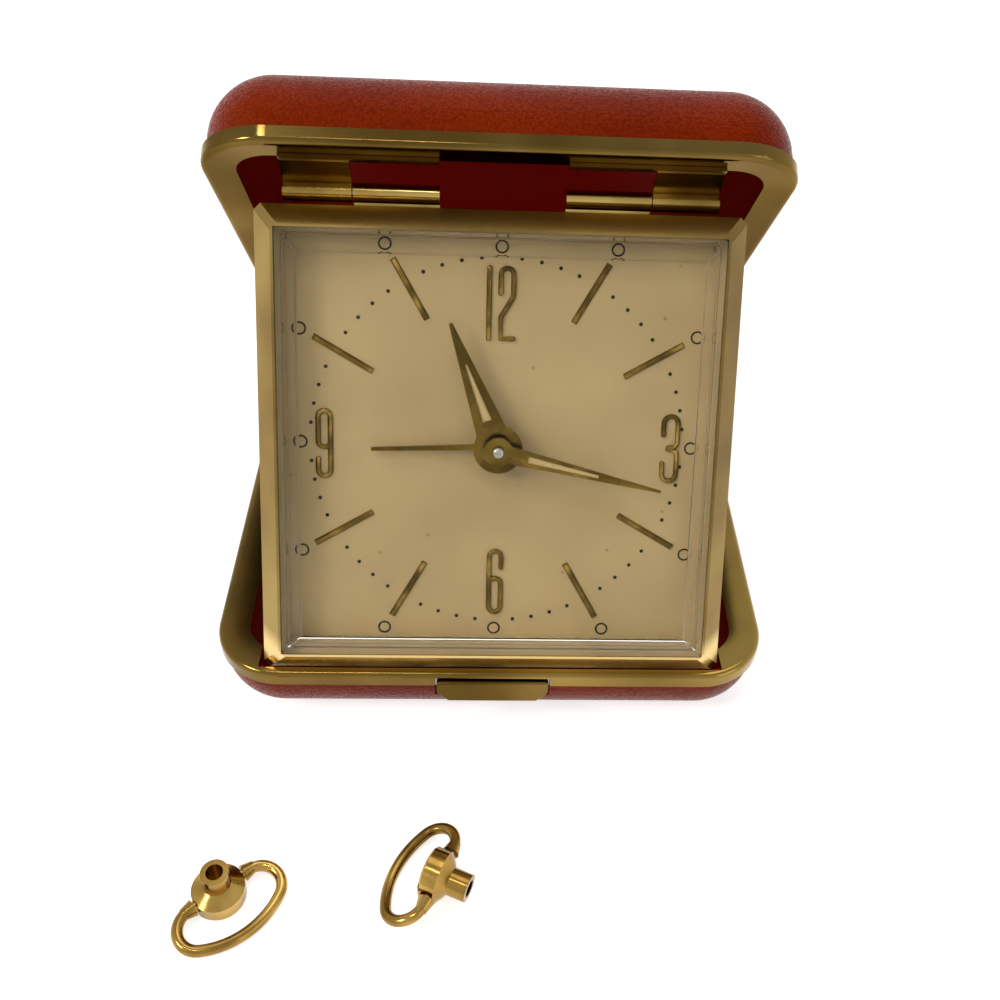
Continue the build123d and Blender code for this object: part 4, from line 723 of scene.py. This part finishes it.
floor_mesh = bpy.data.meshes.new("floor")
floor_mesh.from_pydata([(-FLOOR_SIDE, FLOOR_FRONT, 0), (FLOOR_SIDE, FLOOR_FRONT, 0), (FLOOR_SIDE, FLOOR_BACK, 0),
                        (-FLOOR_SIDE, FLOOR_BACK, 0)], [], [(0, 1, 2, 3)])
floor_mesh.materials.append(white_floor())
floor = bpy.data.objects.new("floor", floor_mesh)
SCENE.collection.objects.link(floor)

world = bpy.data.worlds.new("studio")
SCENE.world = world
world.use_nodes = True
sky = world.node_tree
sky.nodes.clear()
ambient = add(sky, "ShaderNodeBackground", None, {"Color": linear("#FFFCF8"), "Strength": AMBIENT})
way = add(sky, "ShaderNodeSeparateXYZ", None, {"Vector": add(sky, "ShaderNodeTexCoord").outputs["Generated"]})
fall = add(sky, "ShaderNodeMapRange", None,
           {"Value": way.outputs["Z"], "From Min": 0.4, "From Max": 0.9, "To Min": HORIZON, "To Max": ZENITH})
backdrop = add(sky, "ShaderNodeBackground", None, {"Color": linear("#FFFFFF"), "Strength": fall.outputs["Result"]})
chosen = add(sky, "ShaderNodeMixShader", None,
             {0: seen_rays(sky), 1: ambient.outputs["Background"], 2: backdrop.outputs["Background"]})
sky_output = add(sky, "ShaderNodeOutputWorld")
sky.links.new(chosen.outputs["Shader"], sky_output.inputs["Surface"])

area_light("window", (-0.55, -0.35, 0.55), (0.2, 0.2), 2.2, "#FFFCF6")
area_light("overhead", (0.1, 0.25, 0.8), (0.6, 0.4), 1.4, "#FFFCF8")
area_light("strip", (-0.15, -0.22, 0.75), (0.3, 0.025), 0.7, "#FFFCF8")
area_light("fill", (0.6, -0.5, 0.35), (0.4, 0.4), 0.5, "#FFFCF6")

# The camera was fitted to the photograph's corners and edges
CAMERA_PLACE = Vector((-3.06, -143.63, 140.90)) * MM
AZIMUTH, ELEVATION, ROLL = math.radians(-4.393), math.radians(39.706), math.radians(3.891)
FOCAL_PIXELS, IMAGE_PIXELS = 1128.5, 1000
PRINCIPAL = (542.44, 445.38)
SENSOR_WIDTH = 36.0

back = Vector((math.sin(AZIMUTH) * math.cos(ELEVATION), -math.cos(AZIMUTH) * math.cos(ELEVATION),
               math.sin(ELEVATION)))
level_right = (-back).cross(Vector((0, 0, 1))).normalized()
level_up = level_right.cross(-back)
right = level_right * math.cos(ROLL) + level_up * math.sin(ROLL)
up = level_up * math.cos(ROLL) - level_right * math.sin(ROLL)
camera = bpy.data.objects.new("camera", bpy.data.cameras.new("camera"))
SCENE.collection.objects.link(camera)
camera.data.sensor_width = SENSOR_WIDTH
camera.data.lens = SENSOR_WIDTH * FOCAL_PIXELS / IMAGE_PIXELS
camera.data.shift_x = (IMAGE_PIXELS / 2 - PRINCIPAL[0]) / IMAGE_PIXELS
camera.data.shift_y = (PRINCIPAL[1] - IMAGE_PIXELS / 2) / IMAGE_PIXELS
camera.data.clip_start, camera.data.clip_end = 0.01, 20
camera.matrix_world = Matrix.Translation(CAMERA_PLACE) @ Matrix((right, up, back)).transposed().to_4x4()
SCENE.camera = camera
SCENE.view_settings.view_transform = "Standard"
